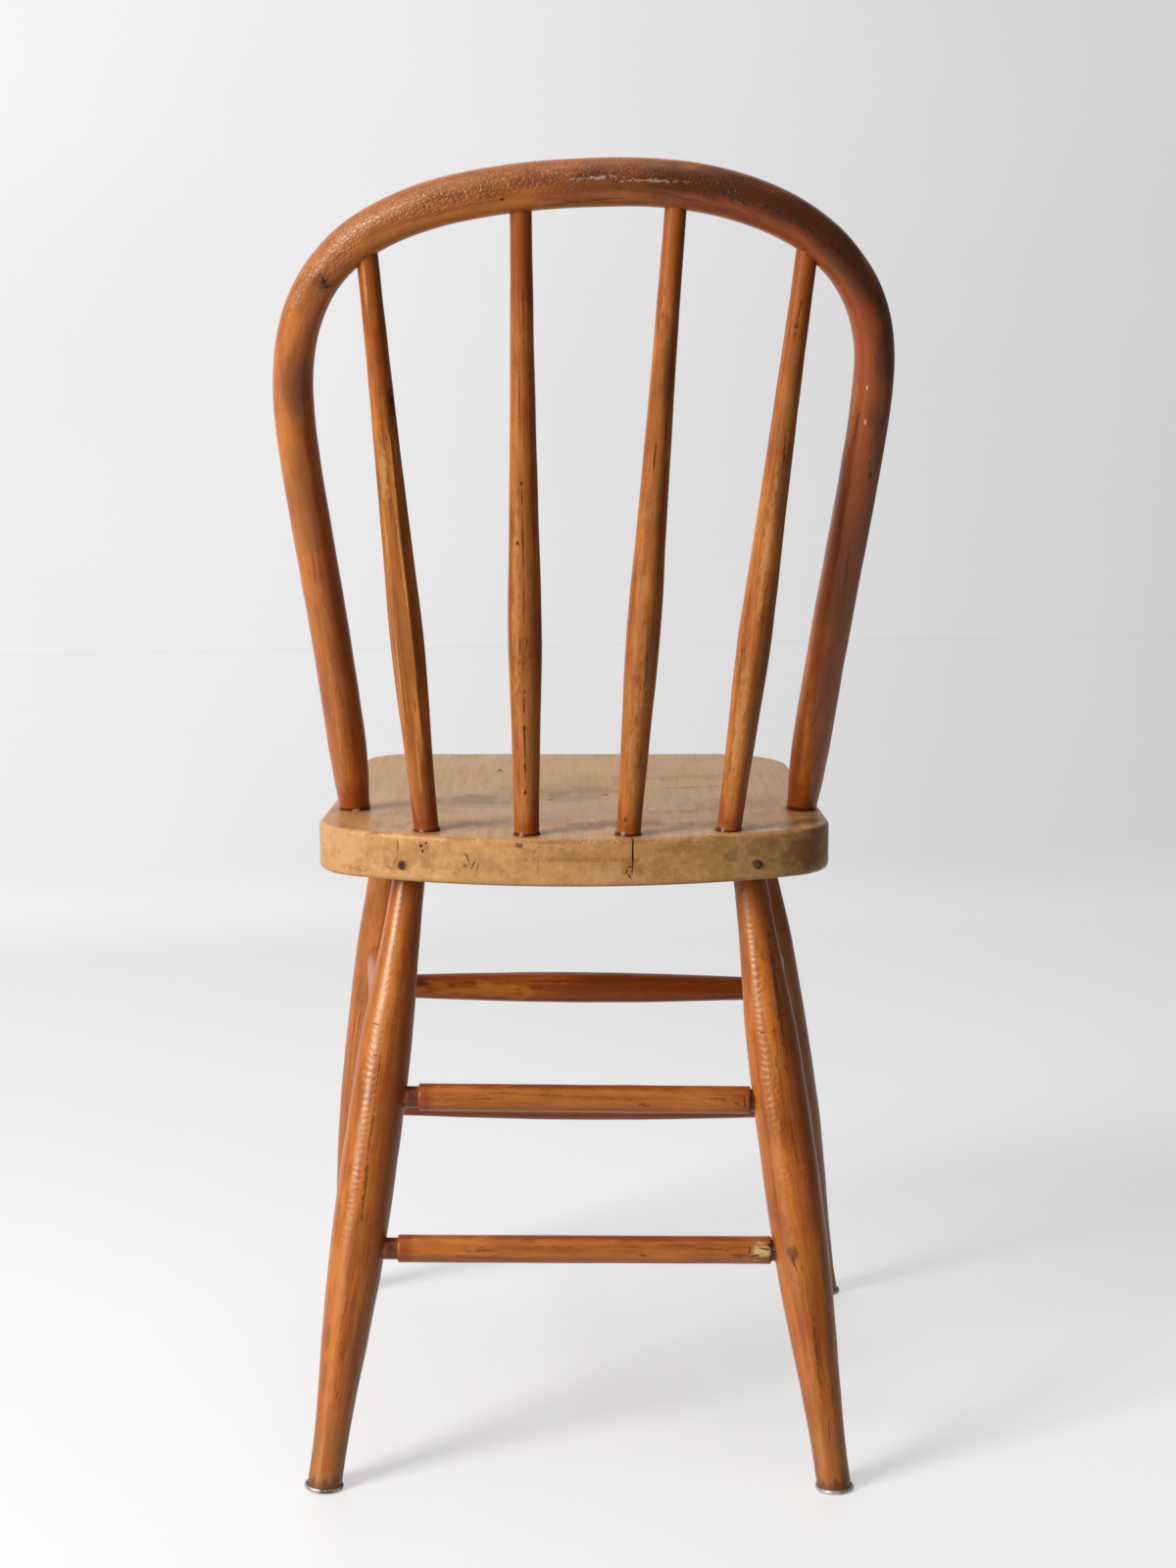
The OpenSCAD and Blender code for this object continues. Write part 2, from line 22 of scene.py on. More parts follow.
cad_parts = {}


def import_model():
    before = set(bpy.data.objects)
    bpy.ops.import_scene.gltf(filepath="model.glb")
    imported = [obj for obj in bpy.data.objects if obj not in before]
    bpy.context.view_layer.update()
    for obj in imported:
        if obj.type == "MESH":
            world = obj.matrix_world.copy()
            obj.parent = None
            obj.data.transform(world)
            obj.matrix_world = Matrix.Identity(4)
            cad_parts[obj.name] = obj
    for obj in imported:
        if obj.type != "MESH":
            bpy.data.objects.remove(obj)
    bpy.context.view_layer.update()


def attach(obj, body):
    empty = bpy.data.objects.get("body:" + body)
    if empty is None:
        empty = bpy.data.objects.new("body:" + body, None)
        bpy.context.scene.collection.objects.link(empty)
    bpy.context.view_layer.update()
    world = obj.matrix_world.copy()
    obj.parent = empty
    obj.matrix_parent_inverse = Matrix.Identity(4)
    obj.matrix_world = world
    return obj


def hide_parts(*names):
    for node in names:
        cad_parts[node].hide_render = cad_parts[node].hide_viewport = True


LOG = logging.getLogger("chair")

MM = 0.001
TO_MM = (1000.0, 1000.0, 1000.0)
CHAIR_CENTRE = Vector((3.998, 180.47, 0.0))
TO_FRAME = Matrix.Scale(MM, 4) @ Matrix.Translation(CHAIR_CENTRE)
GRAIN = "grain"
LEAST_REACH = 4.0
UP = Vector((0.0, 0.0, 1.0))
LEFT = Vector((1.0, 0.0, 0.0))
BACK = Vector((0.0, 1.0, 0.0))

Triple = tuple[float, float, float]
Colour = Triple
Outline = list[tuple[float, float]]
Stations = Sequence[tuple[float, float]]


# ---- shaping --------------------------------------------------------------


def blend(a: float, b: float, share: float) -> float:
    """Straight mix of two numbers."""
    return a + (b - a) * share


def eased(low: float, high: float, value: float) -> float:
    """Smooth rise from 0 at low to 1 at high."""
    t = min(1.0, max(0.0, (value - low) / (high - low)))
    return t * t * (3.0 - 2.0 * t)


def flowing(stations: Stations, pitch: float) -> Outline:
    """Smooth outline through a turner's stations.

    Args:
        stations: Pairs of height and diameter, from the foot up.
        pitch: Greatest step in height.

    Returns:
        Pairs of height and radius.
    """
    outline: Outline = []
    last = len(stations) - 1
    for i in range(last):
        p, q = stations[max(0, i - 1)], stations[i]
        r, s = stations[i + 1], stations[min(last, i + 2)]
        steps = max(1, math.ceil((r[0] - q[0]) / pitch))
        for k in range(steps):
            t = k / steps
            bend = t * (2 * p[1] - 5 * q[1] + 4 * r[1] - s[1] + t * (3 * (q[1] - r[1]) + s[1] - p[1]))
            outline.append((blend(q[0], r[0], t), (q[1] + 0.5 * t * (r[1] - p[1] + bend)) / 2))
    outline.append((stations[last][0], stations[last][1] / 2))
    return outline


def run_on(outline: Outline, low: float, high: float, pitch: float) -> Outline:
    """The outline with plain ends that reach down to low and up to high.

    Args:
        outline: Heights and radii, from the low end up.
        low: Height to start from.
        high: Height to end at.
        pitch: Longest step of the plain ends.

    Returns:
        The longer outline.
    """
    first, last = outline[0], outline[-1]
    below = max(1, math.ceil((first[0] - low) / pitch))
    above = max(1, math.ceil((high - last[0]) / pitch))
    return (
        [(blend(low, first[0], k / below), first[1]) for k in range(below)]
        + outline
        + [(blend(last[0], high, k / above), last[1]) for k in range(1, above + 1)]
    )


def radius_at(outline: Outline, height: float) -> float:
    """Radius of an outline at a height.

    Args:
        outline: Heights and radii.
        height: Where to measure.

    Returns:
        The radius there, or the nearest end's beyond the ends.
    """
    for (h0, r0), (h1, r1) in zip(outline, outline[1:]):
        if h0 <= height <= h1:
            return blend(r0, r1, (height - h0) / max(1e-9, h1 - h0))
    return outline[0][1] if height < outline[0][0] else outline[-1][1]


def standing(foot: Vector, head: Vector, side: Vector) -> Matrix:
    """Place of a turned piece.

    Args:
        foot: Where its height is 0.
        head: A point further up its axis.
        side: Direction that its own X leans towards.

    Returns:
        Matrix from the turning's own space to the chair's.
    """
    z = (head - foot).normalized()
    x = (side - z * side.dot(z)).normalized()
    place = Matrix((x, z.cross(x), z)).transposed().to_4x4()
    place.translation = foot
    return place


def curve_point(points: Sequence[Vector], t: float) -> Vector:
    """Point on the cubic curve with two end points and two handles between them.

    Args:
        points: First end, its handle, the second end's handle and that end.
        t: Share of the way along.

    Returns:
        The point.
    """
    a, b, c, d = points
    s = 1.0 - t
    return a * s**3 + b * (3 * s * s * t) + c * (3 * s * t * t) + d * t**3


def ripple(at: Vector, scale: float, seed: float) -> float:
    """Soft random height from -1 to 1, the same on every run."""
    return noise.noise(at * scale + Vector((seed, seed * 1.7, seed * 0.6)))


# ---- blemishes ------------------------------------------------------------


class Blemish(Enum):
    """What a mark is: colour, roughness and relief in millimetres."""

    # This near-black serves as real scars and split lines, and as painted shade in the gaps round the seat's
    # sockets.
    SCAR = ((0.022, 0.008, 0.003), 0.60, -0.30)
    # This dark brown serves as real nicks and as painted shade in the recesses round the seat's nails.
    NICK = ((0.060, 0.016, 0.004), 0.60, -0.30)
    # This dark brown serves as real grime and crack lines, and once as painted shade down a leg's side away
    # from the window.
    GRIME = ((0.065, 0.013, 0.002), 0.36, 0.0)
    SOOT = ((0.130, 0.085, 0.045), 0.55, 0.0)
    BARE = ((0.480, 0.235, 0.080), 0.50, -0.05)
    FLECK = ((0.640, 0.430, 0.180), 0.45, -0.12)
    POOL = ((0.060, 0.012, 0.002), 0.30, 0.15)
    # This deep red-brown serves as real reddening at joints and along pieces, and as painted shade down the
    # sides of pieces away from the window.
    BLUSH = ((0.225, 0.032, 0.003), 0.36, 0.0)
    UMBER = ((0.165, 0.040, 0.008), 0.38, 0.0)
    HONEY = ((0.560, 0.175, 0.018), 0.34, 0.0)
    # These pale flecks are painted highlights, with a low roughness and a small raised bump.
    GLINT = ((0.640, 0.500, 0.380), 0.25, 0.08)
    STAIN = ((0.290, 0.115, 0.034), 0.46, 0.0)
    # This pale colour with a low roughness is partly real gloss and partly a painted highlight.
    SHEEN = ((0.440, 0.165, 0.050), 0.25, 0.0)
    BLOOM = ((0.520, 0.300, 0.155), 0.42, 0.0)
    INK = ((0.008, 0.004, 0.003), 0.70, -0.40)

    @property
    def colour(self) -> Colour:
        """Colour at the middle of the mark."""
        return self.value[0]

    @property
    def roughness(self) -> float:
        """Roughness at the middle of the mark."""
        return self.value[1]

    @property
    def relief(self) -> float:
        """Height of the mark in millimetres, below zero where it is sunk."""
        return self.value[2]


SCAR, NICK, GRIME, SOOT, BARE, FLECK, POOL, BLUSH, UMBER, HONEY, GLINT, STAIN, SHEEN, BLOOM, INK = Blemish


@dataclass(frozen=True)
class Mark:
    """A patch on a surface: an ellipse laid along one direction, with a ragged edge."""

    kind: Blemish
    centre: Vector
    along: Vector
    across: Vector
    out: Vector
    strength: float = 1.0
    ragged: float = 0.35

    @property
    def grit(self) -> float:
        """Size of the breaks in its edge, in cycles per millimetre."""
        return min(0.75, max(0.09, 1.5 * max(self.along.length, self.across.length)))


def on_turning(
    outline: Outline,
    kind: Blemish,
    height: float,
    around: float,
    length: float,
    width: float,
    turn: float = 0.0,
    strength: float = 1.0,
    ragged: float = 0.35,
) -> Mark:
    """Mark on a turned piece.

    Args:
        outline: The piece's outline.
        kind: What the mark is.
        height: How far up the piece it sits.
        around: Direction it faces in degrees: 0 is the piece's own X and 90 its Y.
        length: Its length, mostly along the piece.
        width: Its width.
        turn: How far its length is turned off the piece's axis, in degrees.
        strength: How much it covers, from 0 to 1.
        ragged: How broken its edge is.

    Returns:
        The mark, in the turning's own millimetres.
    """
    r = radius_at(outline, height)
    a, b = math.radians(around), math.radians(turn)
    normal = Vector((math.cos(a), math.sin(a), 0.0))
    tangent = Vector((-math.sin(a), math.cos(a), 0.0))
    along = (UP * math.cos(b) + tangent * math.sin(b)) * (2 / length)
    across = (tangent * math.cos(b) - UP * math.sin(b)) * (2 / width)
    return Mark(kind, normal * r + UP * height, along, across, normal / (r * 0.9), strength, ragged)


def band(
    kind: Blemish,
    height: float,
    half: float,
    strength: float = 1.0,
    ragged: float = 0.25,
    level: Vector = UP,
) -> Mark:
    """Mark that runs right round a turned piece.

    Args:
        kind: What the mark is.
        height: Where it crosses the piece's axis.
        half: How far it reaches to either side.
        strength: How much it covers, from 0 to 1.
        ragged: How broken its edges are.
        level: What the band lies square to, in the turning's own space.

    Returns:
        The mark.
    """
    return Mark(kind, UP * height, level / half, Vector(), Vector(), strength, ragged)


def on_plank(
    kind: Blemish,
    centre: Colour,
    length: float,
    width: float,
    turn: float = 0.0,
    strength: float = 1.0,
    ragged: float = 0.35,
    facing: Vector = UP,
) -> Mark:
    """Mark on a face of the seat, with its centre in the chair's own millimetres.

    Args:
        kind: What it shows.
        centre: Its place.
        length: Its length.
        width: Its width.
        turn: How far its length is turned off the sitter's left, in degrees.
        strength: How much it covers, from 0 to 1.
        ragged: How broken its edge is.
        facing: Outward direction of the face.

    Returns:
        The mark.
    """
    b = math.radians(turn)
    side = facing.cross(LEFT).normalized()
    run = (LEFT * math.cos(b) + side * math.sin(b)) * (2 / length)
    cross = (side * math.cos(b) - LEFT * math.sin(b)) * (2 / width)
    return Mark(kind, Vector(centre), run, cross, facing / max(LEAST_REACH, width), strength, ragged)


def each(make: Callable[..., Mark], *rows: tuple) -> list[Mark]:
    """Marks from a table.

    Args:
        make: What lays a mark on this kind of surface.
        rows: Kind, place, length, width, turn, strength and raggedness of each mark.

    Returns:
        One mark for each row.
    """
    return [make(*row) for row in rows]


# ---- shader boards --------------------------------------------------------

Tree = bpy.types.NodeTree
Node = bpy.types.Node
Socket = bpy.types.NodeSocket
Plug = Socket | float | Vector | Colour | tuple[float, ...]
Plugs = dict[str | int, Plug]
Ports = dict[str, str]


class Board:
    """A shader tree being wired up, for a material or for a group."""

    def __init__(self, tree: Tree) -> None:
        """Takes the tree to wire."""
        self.tree = tree

    def node(self, kind: str, plugs: Plugs | None = None, **settings: object) -> Node:
        """Adds a node.

        Args:
            kind: The node's type.
            plugs: What goes into each input, as a socket to wire from or a plain value.
            settings: The node's own properties.

        Returns:
            The new node.
        """
        made = self.tree.nodes.new(kind)
        for name, value in settings.items():
            setattr(made, name, value)
        self.feed(made, plugs or {})
        return made

    def group(self, tree: Tree, plugs: Plugs) -> Node:
        """Places one of the shared groups."""
        return self.node("ShaderNodeGroup", plugs, node_tree=tree)

    def feed(self, node: Node, plugs: Plugs) -> None:
        """Fills several inputs of a node."""
        for name, value in plugs.items():
            self.plug(node.inputs[name], value)

    def plug(self, target: Socket, value: Plug) -> None:
        """Wires a socket into an input, or sets the input's value.

        Args:
            target: The input.
            value: A socket or a plain value.
        """
        if isinstance(value, bpy.types.NodeSocket):
            self.tree.links.new(value, target)
        elif target.type == "RGBA" and len(value) == 3:
            target.default_value = (*value, 1.0)
        else:
            target.default_value = value

    def sum(self, operation: str, a: Plug, b: Plug = 0.0, clamp: bool = False) -> Socket:
        """One step of arithmetic on numbers."""
        made = self.node("ShaderNodeMath", {0: a, 1: b}, operation=operation, use_clamp=clamp)
        return made.outputs[0]

    def plus(self, a: Plug, b: Plug, clamp: bool = False) -> Socket:
        """Two numbers added."""
        return self.sum("ADD", a, b, clamp)

    def minus(self, a: Plug, b: Plug) -> Socket:
        """The second number taken from the first."""
        return self.sum("SUBTRACT", a, b)

    def times(self, a: Plug, b: Plug, clamp: bool = False) -> Socket:
        """Two numbers multiplied."""
        return self.sum("MULTIPLY", a, b, clamp)

    def weighed(self, *parts: tuple[Socket, float]) -> Socket:
        """Numbers added up, each times its weight.

        Args:
            parts: Each number with its weight.

        Returns:
            Their sum.
        """
        total = self.times(*parts[0])
        for value, weight in parts[1:]:
            total = self.plus(total, self.times(value, weight))
        return total

    def vector(self, operation: str, a: Plug, b: Plug = (0.0, 0.0, 0.0)) -> Socket:
        """One step of arithmetic on vectors; a dot product or a length gives a number."""
        made = self.node("ShaderNodeVectorMath", {0: a, 1: b}, operation=operation)
        return made.outputs["Value" if operation in ("DOT_PRODUCT", "LENGTH") else "Vector"]

    def spread(self, value: Plug, low: float, high: float, first: float = 0.0, last: float = 1.0) -> Socket:
        """Smooth change from first to last while a value goes from low to high."""
        plugs = {"Value": value, "From Min": low, "From Max": high, "To Min": first, "To Max": last}
        return self.node("ShaderNodeMapRange", plugs, interpolation_type="SMOOTHSTEP").outputs[0]

    def paint(self, share: Plug, under: Plug, over: Plug, mode: str = "MIX") -> Socket:
        """One colour laid over another.

        Args:
            share: How much of the upper colour shows.
            under: The lower colour.
            over: The upper colour.
            mode: How they are mixed.

        Returns:
            The mixed colour.
        """
        made = self.node("ShaderNodeMix", data_type="RGBA", blend_type=mode)
        self.plug(made.inputs[0], share)
        self.plug(made.inputs[6], under)
        self.plug(made.inputs[7], over)
        return made.outputs[2]

    def level(self, share: Plug, under: Plug, over: Plug) -> Socket:
        """One number blended into another."""
        made = self.node("ShaderNodeMix", {0: share, 2: under, 3: over}, data_type="FLOAT")
        return made.outputs[0]

    def cloud(self, at: Plug, stretch: Triple, detail: float = 3.0, warp: float = 0.0) -> Socket:
        """Soft random value around 0.5, drawn out by a stretch in cycles per millimetre.

        Args:
            at: Position in millimetres.
            stretch: Cycles per millimetre along each axis.
            detail: How many finer layers it has.
            warp: How far it is drawn out of shape.

        Returns:
            The value.
        """
        where = self.vector("MULTIPLY", at, stretch)
        plugs = {"Vector": where, "Scale": 1.0, "Detail": detail, "Roughness": 0.55, "Distortion": warp}
        return self.node("ShaderNodeTexNoise", plugs).outputs[0]


class Kit:
    """The shader groups that the finishes share, each built once."""

    def __init__(self) -> None:
        """Builds the groups."""
        self.mark = self._mark()
        self.figure = self._figure()
        self.crazing = self._crazing()
        self.chatter = self._chatter()

    @staticmethod
    def _start(name: str, inputs: Ports, outputs: Ports) -> tuple[Tree, Board, dict[str, Socket], Node]:
        """A new group.

        Args:
            name: The group's name.
            inputs: Names and kinds of its inputs.
            outputs: Names and kinds of its outputs.

        Returns:
            The group, a board on it, its inputs by name and its output node.
        """
        tree = bpy.data.node_groups.new(name, "ShaderNodeTree")
        for way, ports in (("INPUT", inputs), ("OUTPUT", outputs)):
            for label, kind in ports.items():
                tree.interface.new_socket(label, in_out=way, socket_type=f"NodeSocket{kind}")
        board = Board(tree)
        start = board.node("NodeGroupInput")
        given = {label: start.outputs[label] for label in inputs}
        return tree, board, given, board.node("NodeGroupOutput")

    def _mark(self) -> Tree:
        """Mask of one ragged ellipse on a surface.

        Returns:
            The node group.
        """
        inputs = dict.fromkeys(("At", "Centre", "Along", "Across", "Out"), "Vector")
        inputs |= {"Ragged": "Float", "Grit": "Float"}
        tree, board, given, end = self._start("ragged_mark", inputs, {"Mask": "Float"})
        offset = board.vector("SUBTRACT", given["At"], given["Centre"])
        parts = [board.vector("DOT_PRODUCT", offset, given[key]) for key in ("Along", "Across", "Out")]
        flat = board.node("ShaderNodeCombineXYZ", dict(enumerate(parts))).outputs[0]
        drawn = board.vector("MULTIPLY", given["At"], (1.0, 1.0, 0.36))
        torn = board.node("ShaderNodeTexNoise", {"Vector": drawn, "Scale": given["Grit"], "Detail": 3.0})
        tear = board.times(board.minus(torn.outputs[0], 0.5), given["Ragged"])
        reach = board.plus(board.vector("LENGTH", flat), board.times(tear, 4.0))
        board.plug(end.inputs["Mask"], board.spread(reach, 0.38, 1.05, 1.0, 0.0))
        return tree

    def _figure(self) -> Tree:
        """Colour, shine and relief of aged wood along its grain.

        Returns:
            The node group.
        """
        inputs = {"At": "Vector", "Seed": "Float"} | dict.fromkeys(("Light", "Dark", "Pore"), "Color")
        inputs |= dict.fromkeys(("Contrast", "Pores", "Shine"), "Float")
        outputs = {"Color": "Color", "Shine": "Float", "Height": "Float"}
        tree, board, given, end = self._start("aged_figure", inputs, outputs)
        shift = board.vector("SCALE", (41.3, 17.9, 63.1))
        board.tree.links.new(given["Seed"], shift.node.inputs["Scale"])
        at = board.vector("ADD", given["At"], shift)
        bands = board.cloud(at, (0.21, 0.21, 0.0075), 3.0, 0.35)
        fibres = board.cloud(at, (0.95, 0.95, 0.030), 3.0)
        mottle = board.cloud(at, (0.050, 0.050, 0.022), 4.0)
        speckle = board.cloud(at, (0.50, 0.50, 0.22), 4.0)
        mixed = board.weighed((bands, 0.38), (fibres, 0.24), (mottle, 0.32), (speckle, 0.06))
        swing = board.times(board.minus(mixed, 0.5), given["Contrast"])
        share = board.plus(swing, 0.5, clamp=True)
        tone = board.paint(share, given["Dark"], given["Light"])
        dashes = board.cloud(at, (1.25, 1.25, 0.13), 2.0)
        patch = board.spread(board.cloud(at, (0.06, 0.06, 0.02), 2.0), 0.42, 0.62)
        pores = board.times(board.spread(dashes, 0.60, 0.69), board.plus(patch, 0.25))
        pores = board.times(pores, given["Pores"], clamp=True)
        board.plug(end.inputs["Color"], board.paint(pores, tone, given["Pore"]))
        dull = board.times(board.minus(mottle, 0.5), 0.35)
        dull = board.plus(board.plus(dull, given["Shine"]), board.times(pores, 0.15))
        board.plug(end.inputs["Shine"], board.sum("MAXIMUM", dull, 0.08))
        relief = board.weighed((fibres, 0.05), (speckle, 0.03), (pores, -0.05))
        board.plug(end.inputs["Height"], relief)
        return tree

    def _crazing(self) -> Tree:
        """Relief and dark lines of varnish that has broken up into small islands.

        Returns:
            The node group.
        """
        inputs, outputs = {"At": "Vector", "Cell": "Float"}, {"Height": "Float", "Line": "Float"}
        tree, board, given, end = self._start("crazed_varnish", inputs, outputs)
        warp = board.node("ShaderNodeTexNoise", {"Vector": given["At"], "Scale": 0.5, "Detail": 2.0})
        bent = board.vector("ADD", given["At"], board.vector("MULTIPLY", warp.outputs[1], (1.6, 1.6, 3.0)))
        squeezed = board.vector("MULTIPLY", bent, (1.0, 1.0, 0.55))
        cells = board.node("ShaderNodeTexVoronoi", {"Vector": squeezed}, feature="DISTANCE_TO_EDGE")
        size = board.sum("DIVIDE", 1.0, given["Cell"])
        board.plug(cells.inputs["Scale"], size)
        edge = board.spread(cells.outputs[0], 0.0, 0.22)
        board.plug(end.inputs["Height"], edge)
        board.plug(end.inputs["Line"], board.minus(1.0, edge))
        return tree

    def _chatter(self) -> Tree:
        """Ripples left across a turned piece by the tool.

        Returns:
            The node group.
        """
        inputs = {"At": "Vector", "Pitch": "Float"}
        tree, board, given, end = self._start("tool_chatter", inputs, {"Height": "Float"})
        height = board.node("ShaderNodeSeparateXYZ", {0: given["At"]}).outputs[2]
        wander = board.cloud(given["At"], (0.09, 0.09, 0.03), 2.0)
        turns = board.plus(board.sum("DIVIDE", height, given["Pitch"]), board.times(wander, 3.2))
        wave = board.sum("SINE", board.times(turns, math.tau))
        worn = board.spread(board.cloud(given["At"], (0.16, 0.16, 0.09), 3.0), 0.32, 0.62, 0.30, 1.0)
        board.plug(end.inputs["Height"], board.times(wave, worn))
        return tree


# ---- finishes -------------------------------------------------------------


WARM_SHINE = (1.0, 0.88, 0.68)


def new_material(name: str) -> tuple[bpy.types.Material, Board, Node]:
    """An empty material, a board on it and its surface shader.

    Args:
        name: Its name.

    Returns:
        The material, the board and the shader.
    """
    material = bpy.data.materials.new(name)
    material.use_nodes = True
    return material, Board(material.node_tree), material.node_tree.nodes["Principled BSDF"]


@dataclass(frozen=True)
class Relief:
    """A patch of crazed varnish or tool chatter, sized in millimetres."""

    patch: Mark
    size: float
    height: float
    darken: float = 0.0


@dataclass(frozen=True)
class WoodFinish:
    """Wood under old varnish, or bare and polished by use."""

    light: Colour
    dark: Colour
    pore: Colour
    contrast: float
    pores: float
    shine: float
    gloss: float
    coat: float
    coat_roughness: float

    def dress(
        self,
        kit: Kit,
        name: str,
        seed: float,
        marks: Sequence[Mark] = (),
        crazed: Sequence[Relief] = (),
        chattered: Sequence[Relief] = (),
        turned: bool = True,
    ) -> bpy.types.Material:
        """Makes the material of one piece.

        Args:
            kit: The shared groups.
            name: The material's name.
            seed: Shifts the figure, so that no two pieces match.
            marks: What the years have left on it, with painted shade and painted highlights among them.
            crazed: Where its varnish has broken up.
            chattered: Where the turning tool left ripples.
            turned: True for a piece with a grain attribute, false for the seat.

        Returns:
            The material.
        """
        material, board, shader = new_material(name)
        at = self._grain(board) if turned else self._plank(board)
        plugs = {"At": at, "Seed": seed, "Light": self.light, "Dark": self.dark, "Pore": self.pore}
        plugs |= {"Contrast": self.contrast, "Pores": self.pores, "Shine": self.shine}
        figure = board.group(kit.figure, plugs)
        colour, shine, height = (figure.outputs[key] for key in ("Color", "Shine", "Height"))
        for relief in crazed:
            cells = board.group(kit.crazing, {"At": at, "Cell": relief.size})
            patch = self._mask(board, kit, at, relief.patch)
            step = board.times(board.times(cells.outputs["Height"], patch), relief.height)
            height = board.plus(height, step)
            line = board.times(board.times(cells.outputs["Line"], patch), relief.darken)
            colour = board.paint(line, colour, GRIME.colour)
        for relief in chattered:
            wave = board.group(kit.chatter, {"At": at, "Pitch": relief.size})
            patch = self._mask(board, kit, at, relief.patch)
            step = board.times(board.times(wave.outputs["Height"], patch), relief.height)
            height = board.plus(height, step)
        for mark in marks:
            mask = self._mask(board, kit, at, mark)
            colour = board.paint(mask, colour, mark.kind.colour)
            shine = board.level(mask, shine, mark.kind.roughness)
            if mark.kind.relief:
                height = board.plus(height, board.times(mask, mark.kind.relief))
        bump = board.node("ShaderNodeBump", {"Height": height, "Distance": MM, "Strength": 1.0})
        board.feed(shader, {
            "Base Color": colour, "Roughness": shine, "Normal": bump.outputs[0],
            "Specular IOR Level": self.gloss, "Specular Tint": WARM_SHINE,
            "Coat Weight": self.coat, "Coat Roughness": self.coat_roughness,
        })
        return material

    @staticmethod
    def _grain(board: Board) -> Socket:
        """Position in the turning's own millimetres."""
        kept = board.node("ShaderNodeAttribute", attribute_name=GRAIN)
        return board.vector("MULTIPLY", kept.outputs["Vector"], TO_MM)

    @staticmethod
    def _plank(board: Board) -> Socket:
        """Position in the chair's own millimetres, turned so that the grain runs front to back.

        Args:
            board: The material's board.

        Returns:
            The position.
        """
        place = board.node("ShaderNodeTexCoord").outputs["Object"]
        scaled = board.vector("MULTIPLY", place, TO_MM)
        own = board.vector("SUBTRACT", scaled, CHAIR_CENTRE)
        parts = board.node("ShaderNodeSeparateXYZ", {0: own})
        plugs = {0: parts.outputs[0], 1: parts.outputs[2], 2: parts.outputs[1]}
        return board.node("ShaderNodeCombineXYZ", plugs).outputs[0]

    @staticmethod
    def _mask(board: Board, kit: Kit, at: Socket, mark: Mark) -> Socket:
        """Cover of one mark, from 0 to its strength.

        Args:
            board: The material's board.
            kit: The shared groups.
            at: Position in millimetres.
            mark: The mark.

        Returns:
            The cover.
        """
        plugs = {"At": at, "Centre": mark.centre, "Along": mark.along, "Across": mark.across}
        plugs |= {"Out": mark.out, "Ragged": mark.ragged, "Grit": mark.grit}
        placed = board.group(kit.mark, plugs)
        return board.times(placed.outputs["Mask"], mark.strength)


def as_plank(mark: Mark) -> Mark:
    """The mark with Y and Z changed over, as the plank's finish reads its position."""
    swapped = [Vector((v[0], v[2], v[1])) for v in (mark.centre, mark.along, mark.across, mark.out)]
    return Mark(mark.kind, *swapped, mark.strength, mark.ragged)


@dataclass(frozen=True)
class MetalFinish:
    """Dull metal with dirt and wear."""

    clean: Colour
    dirty: Colour
    dirt: float
    metallic: float
    roughness: float
    pitting: float

    def dress(self, name: str) -> bpy.types.Material:
        """Makes the material, patterned in the frame's millimetres.

        Args:
            name: The material's name.

        Returns:
            The material.
        """
        material, board, shader = new_material(name)
        place = board.node("ShaderNodeTexCoord").outputs["Object"]
        at = board.vector("MULTIPLY", place, TO_MM)
        film = board.cloud(at, (0.22, 0.22, 0.22), 4.0, 0.4)
        grit = board.cloud(at, (1.6, 1.6, 1.6), 3.0)
        cover = board.spread(film, 0.62 - self.dirt * 0.4, 0.72 - self.dirt * 0.2)
        colour = board.paint(cover, self.clean, self.dirty)
        bump = board.node("ShaderNodeBump", {"Height": board.times(grit, self.pitting), "Distance": MM})
        board.feed(shader, {
            "Base Color": board.paint(board.spread(grit, 0.6, 0.7), colour, self.dirty),
            "Roughness": board.level(cover, self.roughness, 0.7),
            "Metallic": board.level(cover, self.metallic, 0.15),
            "Normal": bump.outputs[0],
        })
        return material


AMBER = WoodFinish(
    light=(0.530, 0.160, 0.022), dark=(0.215, 0.042, 0.005), pore=(0.060, 0.014, 0.003),
    contrast=3.6, pores=0.60, shine=0.37, gloss=0.54, coat=0.03, coat_roughness=0.24,
)
REDDER = WoodFinish(
    light=(0.390, 0.085, 0.009), dark=(0.130, 0.022, 0.003), pore=(0.050, 0.012, 0.003),
    contrast=3.6, pores=0.45, shine=0.34, gloss=0.30, coat=0.03, coat_roughness=0.26,
)
HONEYED = WoodFinish(
    light=(0.490, 0.160, 0.028), dark=(0.185, 0.042, 0.006), pore=(0.070, 0.018, 0.004),
    contrast=4.4, pores=0.75, shine=0.40, gloss=0.30, coat=0.02, coat_roughness=0.30,
)
PALE_PLANK = WoodFinish(
    light=(0.620, 0.350, 0.135), dark=(0.340, 0.145, 0.042), pore=(0.200, 0.075, 0.022),
    contrast=2.6, pores=0.30, shine=0.40, gloss=0.30, coat=0.02, coat_roughness=0.34,
)
GLIDE_METAL = MetalFinish((0.52, 0.50, 0.47), (0.16, 0.12, 0.09), 0.35, 0.9, 0.38, 0.10)
DIRTY_GLIDE = MetalFinish((0.46, 0.43, 0.39), (0.11, 0.08, 0.06), 0.62, 0.85, 0.45, 0.14)
NAIL_IRON = MetalFinish((0.050, 0.027, 0.018), (0.020, 0.010, 0.006), 0.5, 0.10, 0.8, 0.25)
WORN_NAIL = MetalFinish((0.22, 0.19, 0.17), (0.06, 0.040, 0.030), 0.35, 0.75, 0.42, 0.2)


# ---- turned pieces --------------------------------------------------------


@dataclass(frozen=True)
class Flat:
    """A facet shaved along a turned piece."""

    around: float
    low: float
    high: float
    depth: float


